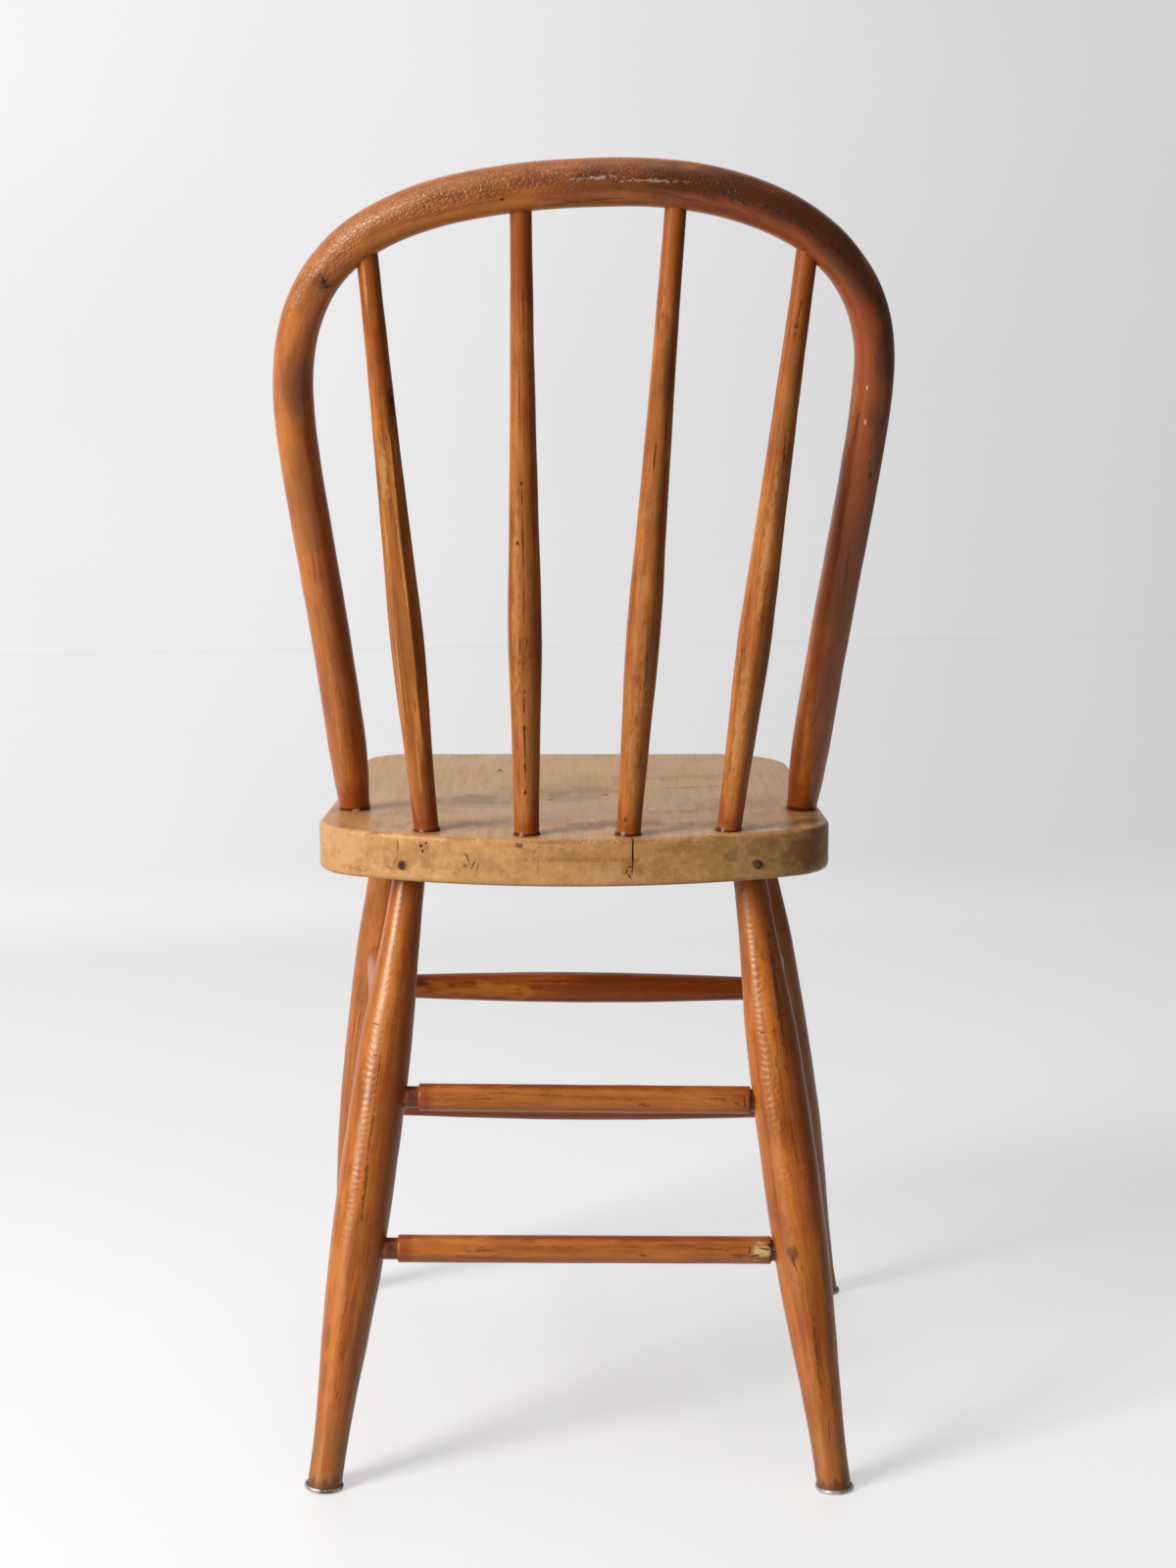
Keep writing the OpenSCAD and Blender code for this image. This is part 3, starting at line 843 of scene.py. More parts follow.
@dataclass
class TurnedPiece:
    """A piece that comes off the lathe, worn and then set in its place."""

    node: str
    slot: str
    outline: Outline
    place: Callable[[Vector], Vector]
    material: bpy.types.Material
    seed: float = 1.0
    wobble: float = 0.18
    flats: tuple[Flat, ...] = ()
    sides: int = 64
    floor_cut: Matrix | None = None

    def build(self) -> bpy.types.Object:
        """Spins the outline, wears it, places it and hands it to the frame.

        Returns:
            The finished piece.
        """
        bm = bmesh.new()
        low, high = self.outline[0][0], self.outline[-1][0]
        rim = [(low, 0.0), *self.outline, (high, 0.0)]
        verts = [bm.verts.new((r, 0.0, h)) for h, r in rim]
        edges = [bm.edges.new(pair) for pair in zip(verts, verts[1:])]
        bmesh.ops.spin(
            bm, geom=verts + edges, cent=(0, 0, 0), axis=(0, 0, 1), dvec=(0, 0, 0),
            angle=math.tau, steps=self.sides, use_merge=True, use_normal_flip=False, use_duplicate=False,
        )
        bmesh.ops.remove_doubles(bm, verts=bm.verts, dist=0.001)
        bmesh.ops.recalc_face_normals(bm, faces=bm.faces)
        layer = bm.verts.layers.float_vector.new(GRAIN)
        for vert in bm.verts:
            vert[layer] = vert.co * MM
            vert.co = self.place(self._worn(vert.co))
        if self.floor_cut is not None:
            cut_below(bm, self.floor_cut)
        bmesh.ops.transform(bm, matrix=TO_FRAME, verts=bm.verts)
        return hand_over(bm, self.node, self.material)

    def _worn(self, at: Vector) -> Vector:
        """A point of the fresh turning after years of use.

        Args:
            at: The point on the fresh turning.

        Returns:
            The point after wear.
        """
        radial = Vector((at.x, at.y, 0.0))
        if radial.length < 1e-6:
            return at.copy()
        out = radial.normalized()
        slow = ripple(Vector((out.x * 4, out.y * 4, at.z * 0.35)), 0.12, self.seed)
        moved = at + out * (self.wobble * slow)
        for flat in self.flats:
            a = math.radians(flat.around)
            normal = Vector((math.cos(a), math.sin(a), 0.0))
            ends = eased(flat.low, flat.low + 25, at.z) * (1 - eased(flat.high - 25, flat.high, at.z))
            over = moved.dot(normal) - (radial.length - flat.depth * ends)
            if over > 0:
                moved -= normal * over
        return moved


def cut_below(bm: bmesh.types.BMesh, ground: Matrix) -> None:
    """Cuts away what lies under a plane and closes the cut.

    Args:
        bm: The mesh, which is changed.
        ground: A space whose floor is the plane.
    """
    geom = bm.verts[:] + bm.edges[:] + bm.faces[:]
    normal = (ground.to_3x3() @ UP).normalized()
    bmesh.ops.bisect_plane(
        bm, geom=geom, dist=0.0001, plane_co=ground.translation, plane_no=normal, clear_inner=True
    )
    rim = [edge for edge in bm.edges if edge.is_boundary]
    bmesh.ops.edgeloop_fill(bm, edges=rim)
    bmesh.ops.recalc_face_normals(bm, faces=bm.faces)


def to_mesh(
    bm: bmesh.types.BMesh, name: str, material: bpy.types.Material, sharp: float
) -> bpy.types.Mesh:
    """A smooth mesh from a bmesh, which is freed; edges that turn by over sharp degrees stay sharp.

    Args:
        bm: The shape.
        name: The mesh's name.
        material: Its finish.
        sharp: Angle past which an edge stays sharp, in degrees.

    Returns:
        The mesh.
    """
    mesh = bpy.data.meshes.new(name)
    bm.to_mesh(mesh)
    bm.free()
    mesh.polygons.foreach_set("use_smooth", [True] * len(mesh.polygons))
    mesh.set_sharp_from_angle(angle=math.radians(sharp))
    mesh.materials.append(material)
    return mesh


def show(name: str, data: bpy.types.ID) -> bpy.types.Object:
    """Adds an object to the scene.

    Args:
        name: The object's name.
        data: What it shows.

    Returns:
        The object.
    """
    thing = bpy.data.objects.new(name, data)
    bpy.context.scene.collection.objects.link(thing)
    return thing


def hand_over(
    bm: bmesh.types.BMesh, node: str, material: bpy.types.Material, sharp: float = 40.0
) -> bpy.types.Object:
    """Makes the finished object, hangs it on the root body and hides the node that it stands for.

    Args:
        bm: The mesh, placed in the frame; it is freed here.
        node: The node that it stands for.
        material: Its finish.
        sharp: Edges that turn by more than this many degrees stay sharp.

    Returns:
        The object.
    """
    name = f"fine_{node}"
    piece = show(name, to_mesh(bm, name, material, sharp))
    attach(piece, "root")
    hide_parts(node)
    LOG.info("%s: %d faces", piece.name, len(piece.data.polygons))
    return piece


# ---- the chair's layout ---------------------------------------------------


@dataclass(frozen=True)
class Layout:
    """Sizes that more than one sub-assembly needs."""

    seat_top: float = 445.0
    seat_thick: float = 33.0
    seat_width: float = 354.5
    seat_taper: float = 24.5
    seat_shift: float = 2.7
    seat_depth: float = 398.0
    seat_back_r: float = 312.0
    splay: float = 7.9
    rear_rake: float = 12.6
    front_rake: float = 8.7
    rear_leg_side: float = 60.2
    rear_leg_inset: float = 65.0
    rear_leg_drift: float = 1.0
    front_leg_side: float = 26.5
    front_leg_inset: float = 68.0
    front_top_drift: float = 6.0
    front_foot_drift: float = 4.0
    bow_foot_x: float = 158.55
    bow_setback: float = 127.0
    spindle_pitch: float = 68.6
    spindle_inset: float = 19.0
    nail_rise: float = 11.0
    nail_offsets: tuple[float, float] = (4.0, -5.5)
    glide_d: float = 26.6
    glide_t: float = 3.0
    glide_tilt: float = 4.0

    @property
    def seat_bottom(self) -> float:
        """Height of the seat's underside."""
        return self.seat_top - self.seat_thick

    @property
    def seat_middle(self) -> float:
        """Height halfway through the seat."""
        return self.seat_top - self.seat_thick / 2

    def leg_point(self, rear: bool, left: bool, height: float) -> Vector:
        """Point on a leg's axis at a height.

        Args:
            rear: Whether it is a rear leg.
            left: Whether it is on the sitter's left.
            height: Height above the floor.

        Returns:
            The point.
        """
        fall = self.seat_bottom - height
        side = 1.0 if left else -1.0
        out = math.tan(math.radians(self.splay))
        if rear:
            x = side * (self.seat_width / 2 - self.rear_leg_side) - self.rear_leg_drift + side * out * fall
            return Vector((x, -self.rear_leg_inset + math.tan(math.radians(self.rear_rake)) * fall, height))
        skew = (self.front_top_drift + self.front_foot_drift) / self.seat_bottom
        x = side * ((self.seat_width - self.seat_taper) / 2 - self.front_leg_side) + self.front_top_drift
        y = -self.seat_depth + self.front_leg_inset - math.tan(math.radians(self.front_rake)) * fall
        return Vector((x + (side * out - skew) * fall, y, height))

    def back_edge(self, x: float) -> float:
        """How far back the seat's edge is at a distance from the chair's middle."""
        return -self.seat_back_r + math.sqrt(self.seat_back_r**2 - (x - self.seat_shift) ** 2)

    def spindle_place(self, index: int) -> Vector:
        """Where a spindle's axis meets the seat; spindles count from the sitter's left.

        Args:
            index: Which spindle.

        Returns:
            The point on the seat's top.
        """
        x = self.spindle_pitch * (1.5 - index)
        row = self.seat_back_r - self.spindle_inset
        return Vector((x, -self.seat_back_r + math.sqrt(row * row - x * x), self.seat_top))

    def seat_nail(self, left: bool) -> Vector:
        """Where a nail goes into the seat's back edge, through a rear leg's tenon.

        Args:
            left: Whether it is on the sitter's left.

        Returns:
            The point on the back edge.
        """
        height = self.seat_bottom + self.nail_rise
        x = self.leg_point(True, left, height).x + self.nail_offsets[0 if left else 1]
        return Vector((x, self.back_edge(x), height))

    def glide_space(self, rear: bool, left: bool) -> Matrix:
        """A glide's own space, tipped where the glide is bent.

        Args:
            rear: Whether it is a rear leg.
            left: Whether it is on the sitter's left.

        Returns:
            The space, with its origin under the leg.
        """
        foot = self.leg_point(rear, left, 0.0)
        tilt = self.glide_tilt if rear and left else 0.0
        hinge = Matrix.Translation(Vector((foot.x - self.glide_d / 2, foot.y, 0.0)))
        tip = Matrix.Rotation(math.radians(-tilt), 4, "Y")
        return hinge @ tip @ Matrix.Translation(Vector((self.glide_d / 2, 0.0, 0.0)))


# ---- seat -----------------------------------------------------------------


@dataclass
class Seat:
    """The plank, dished by its maker and split at its back edge."""

    layout: Layout
    kit: Kit
    rear_corner_r: float = 50.0
    front_left_r: float = 34.0
    front_right_r: float = 58.0
    edge_r: float = 3.5
    dish_depth: float = 6.0
    dish_width: float = 270.0
    spacing: float = 4.5
    split_x: float = -37.0
    split_depth: float = 5.0
    split_fall: float = 25.0

    def build(self) -> None:
        """Makes the plank and its finish."""
        bm = bmesh.new()
        rim = self._rim()
        loop = [bm.verts.new(point) for point, _ in rim]
        edges = [bm.edges.new(pair) for pair in zip(loop, loop[1:] + loop[:1])]
        self._grow(bm, edges, rim, self._levels_up())
        self._grow(bm, edges, rim, self._levels_down())
        bmesh.ops.recalc_face_normals(bm, faces=bm.faces)
        bmesh.ops.transform(bm, matrix=TO_FRAME, verts=bm.verts)
        material = PALE_PLANK.dress(self.kit, "plank_finish", 3.0, self._marks(), turned=False)
        hand_over(bm, "seat", material, sharp=50.0)

    def _circles(self) -> list[Triple]:
        """Circles that the plank's outline is laid round, anticlockwise.

        Returns:
            Centre x, centre y and radius of each.
        """
        lay = self.layout
        half, front = lay.seat_width / 2, (lay.seat_width - lay.seat_taper) / 2
        corner = self.rear_corner_r
        share = (half - corner) / (lay.seat_back_r - corner)
        corner_y = -lay.seat_back_r + (lay.seat_back_r - corner) * math.sqrt(1 - share * share)
        return [
            (half - corner, corner_y, corner),
            (0.0, -lay.seat_back_r, lay.seat_back_r),
            (-half + corner, corner_y, corner),
            (-front + self.front_right_r, -lay.seat_depth + self.front_right_r, self.front_right_r),
            (front - self.front_left_r, -lay.seat_depth + self.front_left_r, self.front_left_r),
        ]

    def _rim(self) -> list[tuple[Vector, Vector]]:
        """Points round the plank's widest line, each with its outward direction.

        Returns:
            The points in order.
        """
        circles = self._circles()
        path: list[tuple[Vector, Vector]] = []
        for i, circle in enumerate(circles):
            start = run_angle(circles[i - 1], circle)
            span = (run_angle(circle, circles[(i + 1) % len(circles)]) - start) % math.tau
            steps = max(3, math.ceil(span * circle[2] / 1.0))
            centre = Vector((circle[0] + self.layout.seat_shift, circle[1], 0.0))
            for k in range(steps + 1):
                a = start + span * k / steps
                out = Vector((math.cos(a), math.sin(a), 0.0))
                path.append((centre + out * circle[2], out))
        return self._spaced(path)

    def _spaced(self, path: list[tuple[Vector, Vector]]) -> list[tuple[Vector, Vector]]:
        """The path with even steps, and fine ones across the split.

        Args:
            path: Points with their outward directions.

        Returns:
            The new points, with theirs.
        """
        spaced: list[tuple[Vector, Vector]] = []
        count = len(path)
        travelled, due = 0.0, 0.0
        for i in range(count):
            (a, out_a), (b, out_b) = path[i], path[(i + 1) % count]
            length = (b - a).length
            while length > 0 and due < travelled + length:
                t = (due - travelled) / length
                point = a.lerp(b, t)
                spaced.append((point, out_a.lerp(out_b, t).normalized()))
                near = point.y > -30 and abs(point.x - self.split_x) < 4
                due += 0.25 if near else self.spacing
            travelled += length
        if (spaced[-1][0] - spaced[0][0]).length < 1.0:
            spaced.pop()
        return spaced

    def _levels_up(self) -> list[Triple]:
        """Rings from the plank's mid line up and over its top: inset, height and shrink.

        Returns:
            Inset, height and shrink of each ring.
        """
        top, edge = self.layout.seat_top, self.edge_r
        side = [(0.0, blend(self.layout.seat_middle, top - edge, k / 7), 1.0) for k in range(1, 8)]
        round_over = [
            (edge * (1 - math.cos(a)), top - edge * (1 - math.sin(a)), 1.0)
            for a in (math.radians(18 * k) for k in range(1, 6))
        ]
        shares = [0.995, 0.985, 0.97, *(0.95 - 0.025 * k for k in range(38))]
        return side + round_over + [(edge, top, share) for share in shares]

    def _levels_down(self) -> list[Triple]:
        """Rings from the mid line down and under the plank.

        Returns:
            Inset, height and shrink of each ring.
        """
        bottom, edge = self.layout.seat_bottom, self.edge_r
        side = [(0.0, blend(self.layout.seat_middle, bottom + edge, k / 7), 1.0) for k in range(1, 8)]
        round_over = [
            (edge * (1 - math.cos(a)), bottom + edge * (1 - math.sin(a)), 1.0)
            for a in (math.radians(22.5 * k) for k in range(1, 5))
        ]
        return side + round_over + [(edge, bottom, 0.92 - 0.115 * k) for k in range(8)]

    def _grow(
        self,
        bm: bmesh.types.BMesh,
        edges: list[bmesh.types.BMEdge],
        rim: list[tuple[Vector, Vector]],
        levels: list[Triple],
    ) -> None:
        """Extrudes the rim through a list of rings and closes the last one.

        Args:
            bm: The mesh.
            edges: The loop to start from.
            rim: Points and outward directions of that loop, in order.
            levels: Inset, height and shrink of each ring.
        """
        bm.verts.index_update()
        mid_z = self.layout.seat_middle
        loop = sorted({vert for edge in edges for vert in edge.verts}, key=lambda vert: vert.index)
        order = {vert: i for i, vert in enumerate(loop)}
        for vert, i in order.items():
            vert.co = self._surface(rim[i], 0.0, mid_z, 1.0)
        for inset, z, shrink in levels:
            before = list(order.items())
            grown = bmesh.ops.extrude_edge_only(bm, edges=edges)["geom"]
            fresh = [part for part in grown if isinstance(part, bmesh.types.BMVert)]
            edges = [part for part in grown if isinstance(part, bmesh.types.BMEdge)]
            place = {self._key(vert.co): i for vert, i in before}
            order = {vert: place[self._key(vert.co)] for vert in fresh}
            for vert, i in order.items():
                vert.co = self._surface(rim[i], inset, z, shrink)
        bmesh.ops.edgeloop_fill(bm, edges=edges)

    @staticmethod
    def _key(at: Vector) -> Triple:
        """A point as a key that finds its copy."""
        return (round(at.x, 4), round(at.y, 4), round(at.z, 4))

    def _surface(self, rim: tuple[Vector, Vector], inset: float, z: float, shrink: float) -> Vector:
        """Point of the finished plank.

        Args:
            rim: Point on the outline and its outward direction.
            inset: How far in from the outline it lies.
            z: Its height before dishing.
            shrink: Share of the way out from the plank's middle.

        Returns:
            The point, with the dish, the wear and the split.
        """
        point, out = rim
        middle = Vector((self.layout.seat_shift, -self.layout.seat_depth / 2, 0.0))
        flat = middle + (point - out * inset - middle) * shrink
        at = Vector((flat.x, flat.y, z))
        top = self.layout.seat_top
        if z > top - 6:
            at.z -= self._dish(at) + (0.25 + 0.25 * ripple(at, 0.018, 4.0)) * eased(top - 2, top, z)
        if shrink == 1.0:
            at += out * (0.2 * ripple(at, 0.03, 9.0) - 0.2)
        return at - self._split(at, out, z, shrink)

    def _dish(self, at: Vector) -> float:
        """How far the hollow takes the seat down at a point.

        Args:
            at: The point.

        Returns:
            The drop.
        """
        bowl = (self.dish_width**2 / 4 + self.dish_depth**2) / (2 * self.dish_depth)
        reach = math.hypot(at.x, at.y + self.layout.seat_depth * 0.57)
        drop = self.dish_depth - reach * reach / (2 * bowl)
        return (drop + math.hypot(drop, 0.5)) / 2

    def _split(self, at: Vector, out: Vector, z: float, shrink: float) -> Vector:
        """How far the split draws a point back into the wood.

        Args:
            at: The point.
            out: Outward direction of the rim beside it.
            z: Its height before dishing.
            shrink: Share of the way out from the plank's middle.

        Returns:
            How far it moves.
        """
        if at.y < -30 or abs(at.x - self.split_x) > 4:
            return Vector()
        top = self.layout.seat_top
        path = self.split_x + 0.8 * ripple(Vector((0.0, 0.0, z)), 0.13, 2.0)
        if shrink < 1.0:
            path = self.split_x + 0.5 * ripple(at, 0.2, 5.0)
        width = blend(0.35, 0.60, eased(top - self.split_fall, top, z))
        near = max(0.0, 1.0 - abs(at.x - path) / width)
        deep = eased(top - self.split_fall, top - self.split_fall + 6, z)
        fade = 1.0 - eased(4.0, 13.0, -at.y) if shrink < 1.0 else 1.0
        if z > top - 1.0:
            return UP * (near * self.split_depth * 0.6 * fade)
        return out * (near * deep * self.split_depth)

    def _marks(self) -> list[Mark]:
        """What shows on the plank: its back edge first, then its top."""
        return [as_plank(mark) for mark in self._edge_marks() + self._top_marks()]

    def _at_edge(self, kind: Blemish, x: float, z: float, *rest: float) -> Mark:
        """Mark on the back edge; the rest is its length, width, turn, strength and raggedness."""
        return on_plank(kind, (x, self.layout.back_edge(x), z), *rest, facing=BACK)

    def _edge_marks(self) -> list[Mark]:
        """Knot, hairlines, holes, scratches, stains and painted shade round the nail heads on the back edge.

        Returns:
            The marks, lowest layer first.
        """
        edge = self._at_edge
        marks = [
            edge(STAIN, 20 - 60 * k, 443.0, 66, 3.4, 0, 0.75, 0.8) for k in range(-2, 4)
        ]
        marks += each(
            edge,
            (UMBER, -160, 428, 70, 44, 0, 0.60, 0.5), (BLOOM, 158, 432, 34, 26, 0, 0.50, 0.7),
            (STAIN, 112, 430, 60, 22, 0, 0.42, 0.9), (SOOT, 66, 428, 40, 16, 0, 0.22, 0.9),
            (SOOT, 12, 434, 46, 12, 0, 0.26, 0.9), (STAIN, -52, 424, 30, 14, 0, 0.32, 0.9),
            (BLOOM, -24, 420, 44, 12, 0, 0.35, 0.8), (STAIN, -128, 434, 40, 16, 0, 0.40, 0.8),
            (STAIN, 150, 418, 40, 6, 0, 0.60, 0.9), (STAIN, 8, 431, 90, 5, 0, 0.50, 0.9),
            (STAIN, -70, 437, 70, 6, 0, 0.45, 0.9), (STAIN, 92, 423, 60, 7, 0, 0.35, 0.9),
            (SOOT, -103, 430, 13, 12, 0, 0.40, 0.7), (SOOT, 103, 430, 10, 13, 0, 0.30, 0.7),
            (SOOT, 34, 437, 16, 8, 0, 0.30, 0.7), (NICK, 121.8, 436, 15, 0.8, 90, 0.75, 0.3),
            (NICK, 123.8, 425.5, 10, 0.8, 66, 0.70, 0.3), (NICK, 128, 421, 9, 0.9, 160, 0.65, 0.3),
            (STAIN, 124, 423, 16, 13, 0, 0.35, 0.6), (STAIN, 104, 437, 14, 8, 0, 0.60, 0.6),
            (INK, 105.6, 437.4, 3.6, 3.2, 0, 1.0, 0.3), (INK, 102.2, 439.4, 2.0, 2.6, 0, 1.0, 0.3),
            (INK, 104.6, 433.6, 1.6, 3.2, 0, 1.0, 0.3), (NICK, 73.6, 430, 11, 1.4, 112, 0.85, 0.6),
            (NICK, 70.0, 426.5, 9, 1.6, 62, 0.90, 0.6), (NICK, 67.2, 424.5, 7, 1.3, 70, 0.80, 0.6),
            (NICK, 75.6, 425, 5, 1.6, 20, 0.70, 0.6), (NICK, 38.9, 440.5, 7, 4.6, 0, 0.75, 0.5),
            (STAIN, 26.5, 429, 26, 1.0, 90, 0.70, 0.5), (STAIN, -13, 433, 12, 0.9, 86, 0.60, 0.5),
            (STAIN, -58, 437, 12, 0.9, 90, 0.50, 0.5),
            (STAIN, self.split_x + 1, 425, 15, 19, 0, 0.65, 0.6),
            (INK, self.split_x, 435, 18, 1.3, 90, 0.95, 0.15),
            (SCAR, self.split_x + 1.8, 425.6, 4.6, 1.2, 8, 1.0, 0.2),
            (SCAR, self.split_x + 4.0, 422.8, 5.6, 1.2, 80, 1.0, 0.2),
            (SCAR, self.split_x + 2.2, 419.2, 6.0, 1.1, 128, 1.0, 0.2),
        )
        for left in (True, False):
            nail = self.layout.seat_nail(left)
            # The dark ring round each nail head is painted shade of a countersunk recess, with a small sunk
            # bump.
            marks.append(edge(NICK, nail.x, nail.z, 9.4, 9.0, 0, 0.80, 0.2))
        return marks

    def _top_marks(self) -> list[Mark]:
        """Specks, a crease, grey wear, varnish pools and painted shade in the sockets' gaps on the top.

        Returns:
            The marks, lowest layer first.
        """
        top = self.layout.seat_top
        marks = each(
            on_plank,
            (BLOOM, (20, -345, top - 2), 300, 70, 0, 0.55, 0.8),
            (BLOOM, (70, -190, top - 4), 130, 100, 0, 0.40, 0.9),
            (SOOT, (10, -215, top - 5), 120, 40, 6, 0.22, 1.0),
            (STAIN, (-70, -120, top - 3), 90, 22, 10, 0.45, 1.0),
            (STAIN, (-84, -290, top - 3), 120, 26, -8, 0.32, 1.0),
            (STAIN, (0, -58, top), 330, 44, 0, 0.45, 0.8),
            (STAIN, (-120, -150, top), 110, 90, 0, 0.40, 0.8),
            (SOOT, (-40, -62, top), 90, 22, 0, 0.35, 0.9), (SOOT, (86, -70, top), 50, 26, 0, 0.30, 0.9),
            (INK, (61, -320, 442.9), 5, 9, 0, 0.8, 0.3), (INK, (20.4, -203, 439), 5, 7, 0, 0.8, 0.3),
            (NICK, (-20, -225, 439), 6, 8, 0, 0.7, 0.4), (STAIN, (-92, -246, 441), 90, 7, -8, 0.65, 0.6),
            (STAIN, (60, -150, 441), 120, 10, 14, 0.35, 0.9),
            (STAIN, (78, -180, top - 4), 74, 60, 20, 0.45, 1.0),
            (STAIN, (-8, -240, top - 5), 120, 46, -6, 0.50, 1.0),
            (BLOOM, (-18, -112, top - 3), 56, 38, 0, 0.50, 0.9),
            (BLOOM, (-96, -330, top), 120, 60, 0, 0.45, 0.9),
            (STAIN, (112, -112, top), 64, 40, 0, 0.38, 1.0),
            (HONEY, (-132, -112, top), 60, 50, 0, 0.30, 0.8),
        )
        # Round each spindle, a dark disc just wider than its foot shows as a thin ring: painted shade in the
        # socket's gap.
        for index in range(4):
            x, y, _ = self.layout.spindle_place(index)
            marks.append(on_plank(STAIN, (x - 3, y, top), 36, 34, 0, 0.60, 0.5))
            marks.append(on_plank(SCAR, (x, y + 0.6, top), 20.5, 20.5, 0, 0.90, 0.08))
        for side in (1.0, -1.0):
            place = (side * self.layout.bow_foot_x, -self.layout.bow_setback, top)
            marks.append(on_plank(STAIN, place, 38, 38, 0, 0.55, 0.5))
            # Round each foot of the bow, a dark disc just wider than the foot is painted shade in the
            # socket's gap.
            marks.append(on_plank(SCAR, place, 24.5, 25.5, 0, 0.90, 0.08))
        return marks


def run_angle(first: Triple, second: Triple) -> float:
    """Outward angle of the straight run between two circles of x, y and radius.

    Args:
        first: Circle the run leaves.
        second: Circle it comes to.

    Returns:
        The angle in radians.
    """
    dx, dy = second[0] - first[0], second[1] - first[1]
    lean = (first[2] - second[2]) / math.hypot(dx, dy)
    return math.atan2(dy, dx) - math.acos(max(-1.0, min(1.0, lean)))


# ---- back -----------------------------------------------------------------


@dataclass
class Back:
    """The bent bow and its four spindles."""

    layout: Layout
    kit: Kit
    rake: float = 20.0
    height: float = 458.0
    swell_left: float = 29.0
    swell_right: float = 36.5
    waist_left: float = 0.676
    waist_right: float = 0.728
    drift: float = 34.0
    crown_d: float = 30.8
    side_d: float = 26.8
    foot_d: float = 21.5
    straight: float = 6.0
    tenon: float = 20.0
    spindle_heads: tuple[float, ...] = (136.4, 36.0, -64.0, -149.6)
    spindle_belly: float = 22.6
    spindle_foot: float = 17.0
    spindle_top: float = 14.3
    names: tuple[str, ...] = ("left_outer", "left_inner", "right_inner", "right_outer")

    def build(self) -> None:
        """Bends the bow and sets the spindles."""
        self.line = self._bow_line()
        self.lengths = [0.0]
        for a, b in zip(self.line, self.line[1:]):
            self.lengths.append(self.lengths[-1] + (b - a).length)
        self._bow()
        for index in range(4):
            self._spindle(index)

    def _curves(self) -> list[list[Vector]]:
        """Handles of the four bends, from the left foot round to the right foot.

        Returns:
            Four handles for each bend.
        """
        bends: list[list[Vector]] = []
        crown = Vector((-self.drift, self.height))
        sides = (
            (1.0, self.swell_left, self.waist_left, 0.06, (0.62, 0.80)),
            (-1.0, self.swell_right, self.waist_right, 0.09, (0.76, 0.44)),
        )
        for side, swell, waist_share, flare, pull in sides:
            lean = Vector((side * flare, 1.0))
            foot = Vector((side * self.layout.bow_foot_x, 0.0)) + lean.normalized() * self.straight
            waist = Vector((side * (self.layout.bow_foot_x + swell), self.height * waist_share))
            rise, run = crown.y - waist.y, crown.x - waist.x
            lower = [foot, foot + lean * (waist.y * 0.45), waist - Vector((0.0, waist.y * 0.17)), waist]
            up, across = Vector((0.0, rise * pull[0])), Vector((run * pull[1], 0.0))
            upper = [waist, waist + up, crown - across, crown]
            bends += [lower, upper]
        left_low, left_high, right_low, right_high = bends
        return [left_low, left_high, right_high[::-1], right_low[::-1]]

    def _bow_line(self) -> list[Vector]:
        """Middle line of the bow in its own leaning plane, from foot to foot.

        Returns:
            Its points, with the tenons.
        """
        points: list[Vector] = []
        for handles in self._curves():
            points += [curve_point(handles, k / 90) for k in range(90)]
        points.append(curve_point(self._curves()[-1], 1.0))
        left = (points[0] - points[1]).normalized() * (self.tenon + self.straight)
        right = (points[-1] - points[-2]).normalized() * (self.tenon + self.straight)
        return [points[0] + left, *points, points[-1] + right]

    def _bow_radius(self, up: float) -> float:
        """Radius of the bow at a height along its plane.

        Args:
            up: Height along the plane.

        Returns:
            The radius.
        """
        mid = blend(self.foot_d, self.side_d, 0.6)
        sizes = [(self.straight, self.foot_d / 2), (26.0, mid / 2), (50.0, self.side_d / 2)]
        sizes += [(self.height * 0.88, self.side_d / 2), (self.height * 0.96, (self.crown_d - 1) / 2)]
        return radius_at(sizes + [(self.height * 0.99, self.crown_d / 2)], up)

    def _along(self, travel: float) -> tuple[Vector, Vector]:
        """Point and direction of the bow's middle line after a length of travel.

        Args:
            travel: Length from the first end.

        Returns:
            The point and the direction.
        """
        travel = min(max(travel, 0.0), self.lengths[-1])
        low, high = 0, len(self.lengths) - 1
        while high - low > 1:
            half = (low + high) // 2
            if self.lengths[half] <= travel:
                low = half
            else:
                high = half
        a, b = self.line[low], self.line[low + 1]
        share = (travel - self.lengths[low]) / (b - a).length
        before = self.line[max(0, low - 1)]
        after = self.line[min(len(self.line) - 1, low + 2)]
        heading = (b - before).normalized().lerp((after - a).normalized(), share)
        return a.lerp(b, share), heading.normalized()

    def _out_of_plane(self, flat: Vector, back: float) -> Vector:
        """A point of the bow's plane in the chair's space, moved squarely back from it.

        Args:
            flat: The point in the plane.
            back: How far it moves back.

        Returns:
            The point in space.
        """
        lean = math.radians(self.rake)
        return Vector((
            flat.x,
            -self.layout.bow_setback + flat.y * math.sin(lean) + back * math.cos(lean),
            self.layout.seat_top + flat.y * math.cos(lean) - back * math.sin(lean),
        ))

    def _bend(self, at: Vector) -> Vector:
        """Where a point of the straight bow blank goes when the bow is bent.

        Args:
            at: The point on the blank.

        Returns:
            The point on the bow.
        """
        middle, heading = self._along(at.z)
        outward = Vector((heading.y, -heading.x))
        return self._out_of_plane(middle + outward * at.x, at.y)

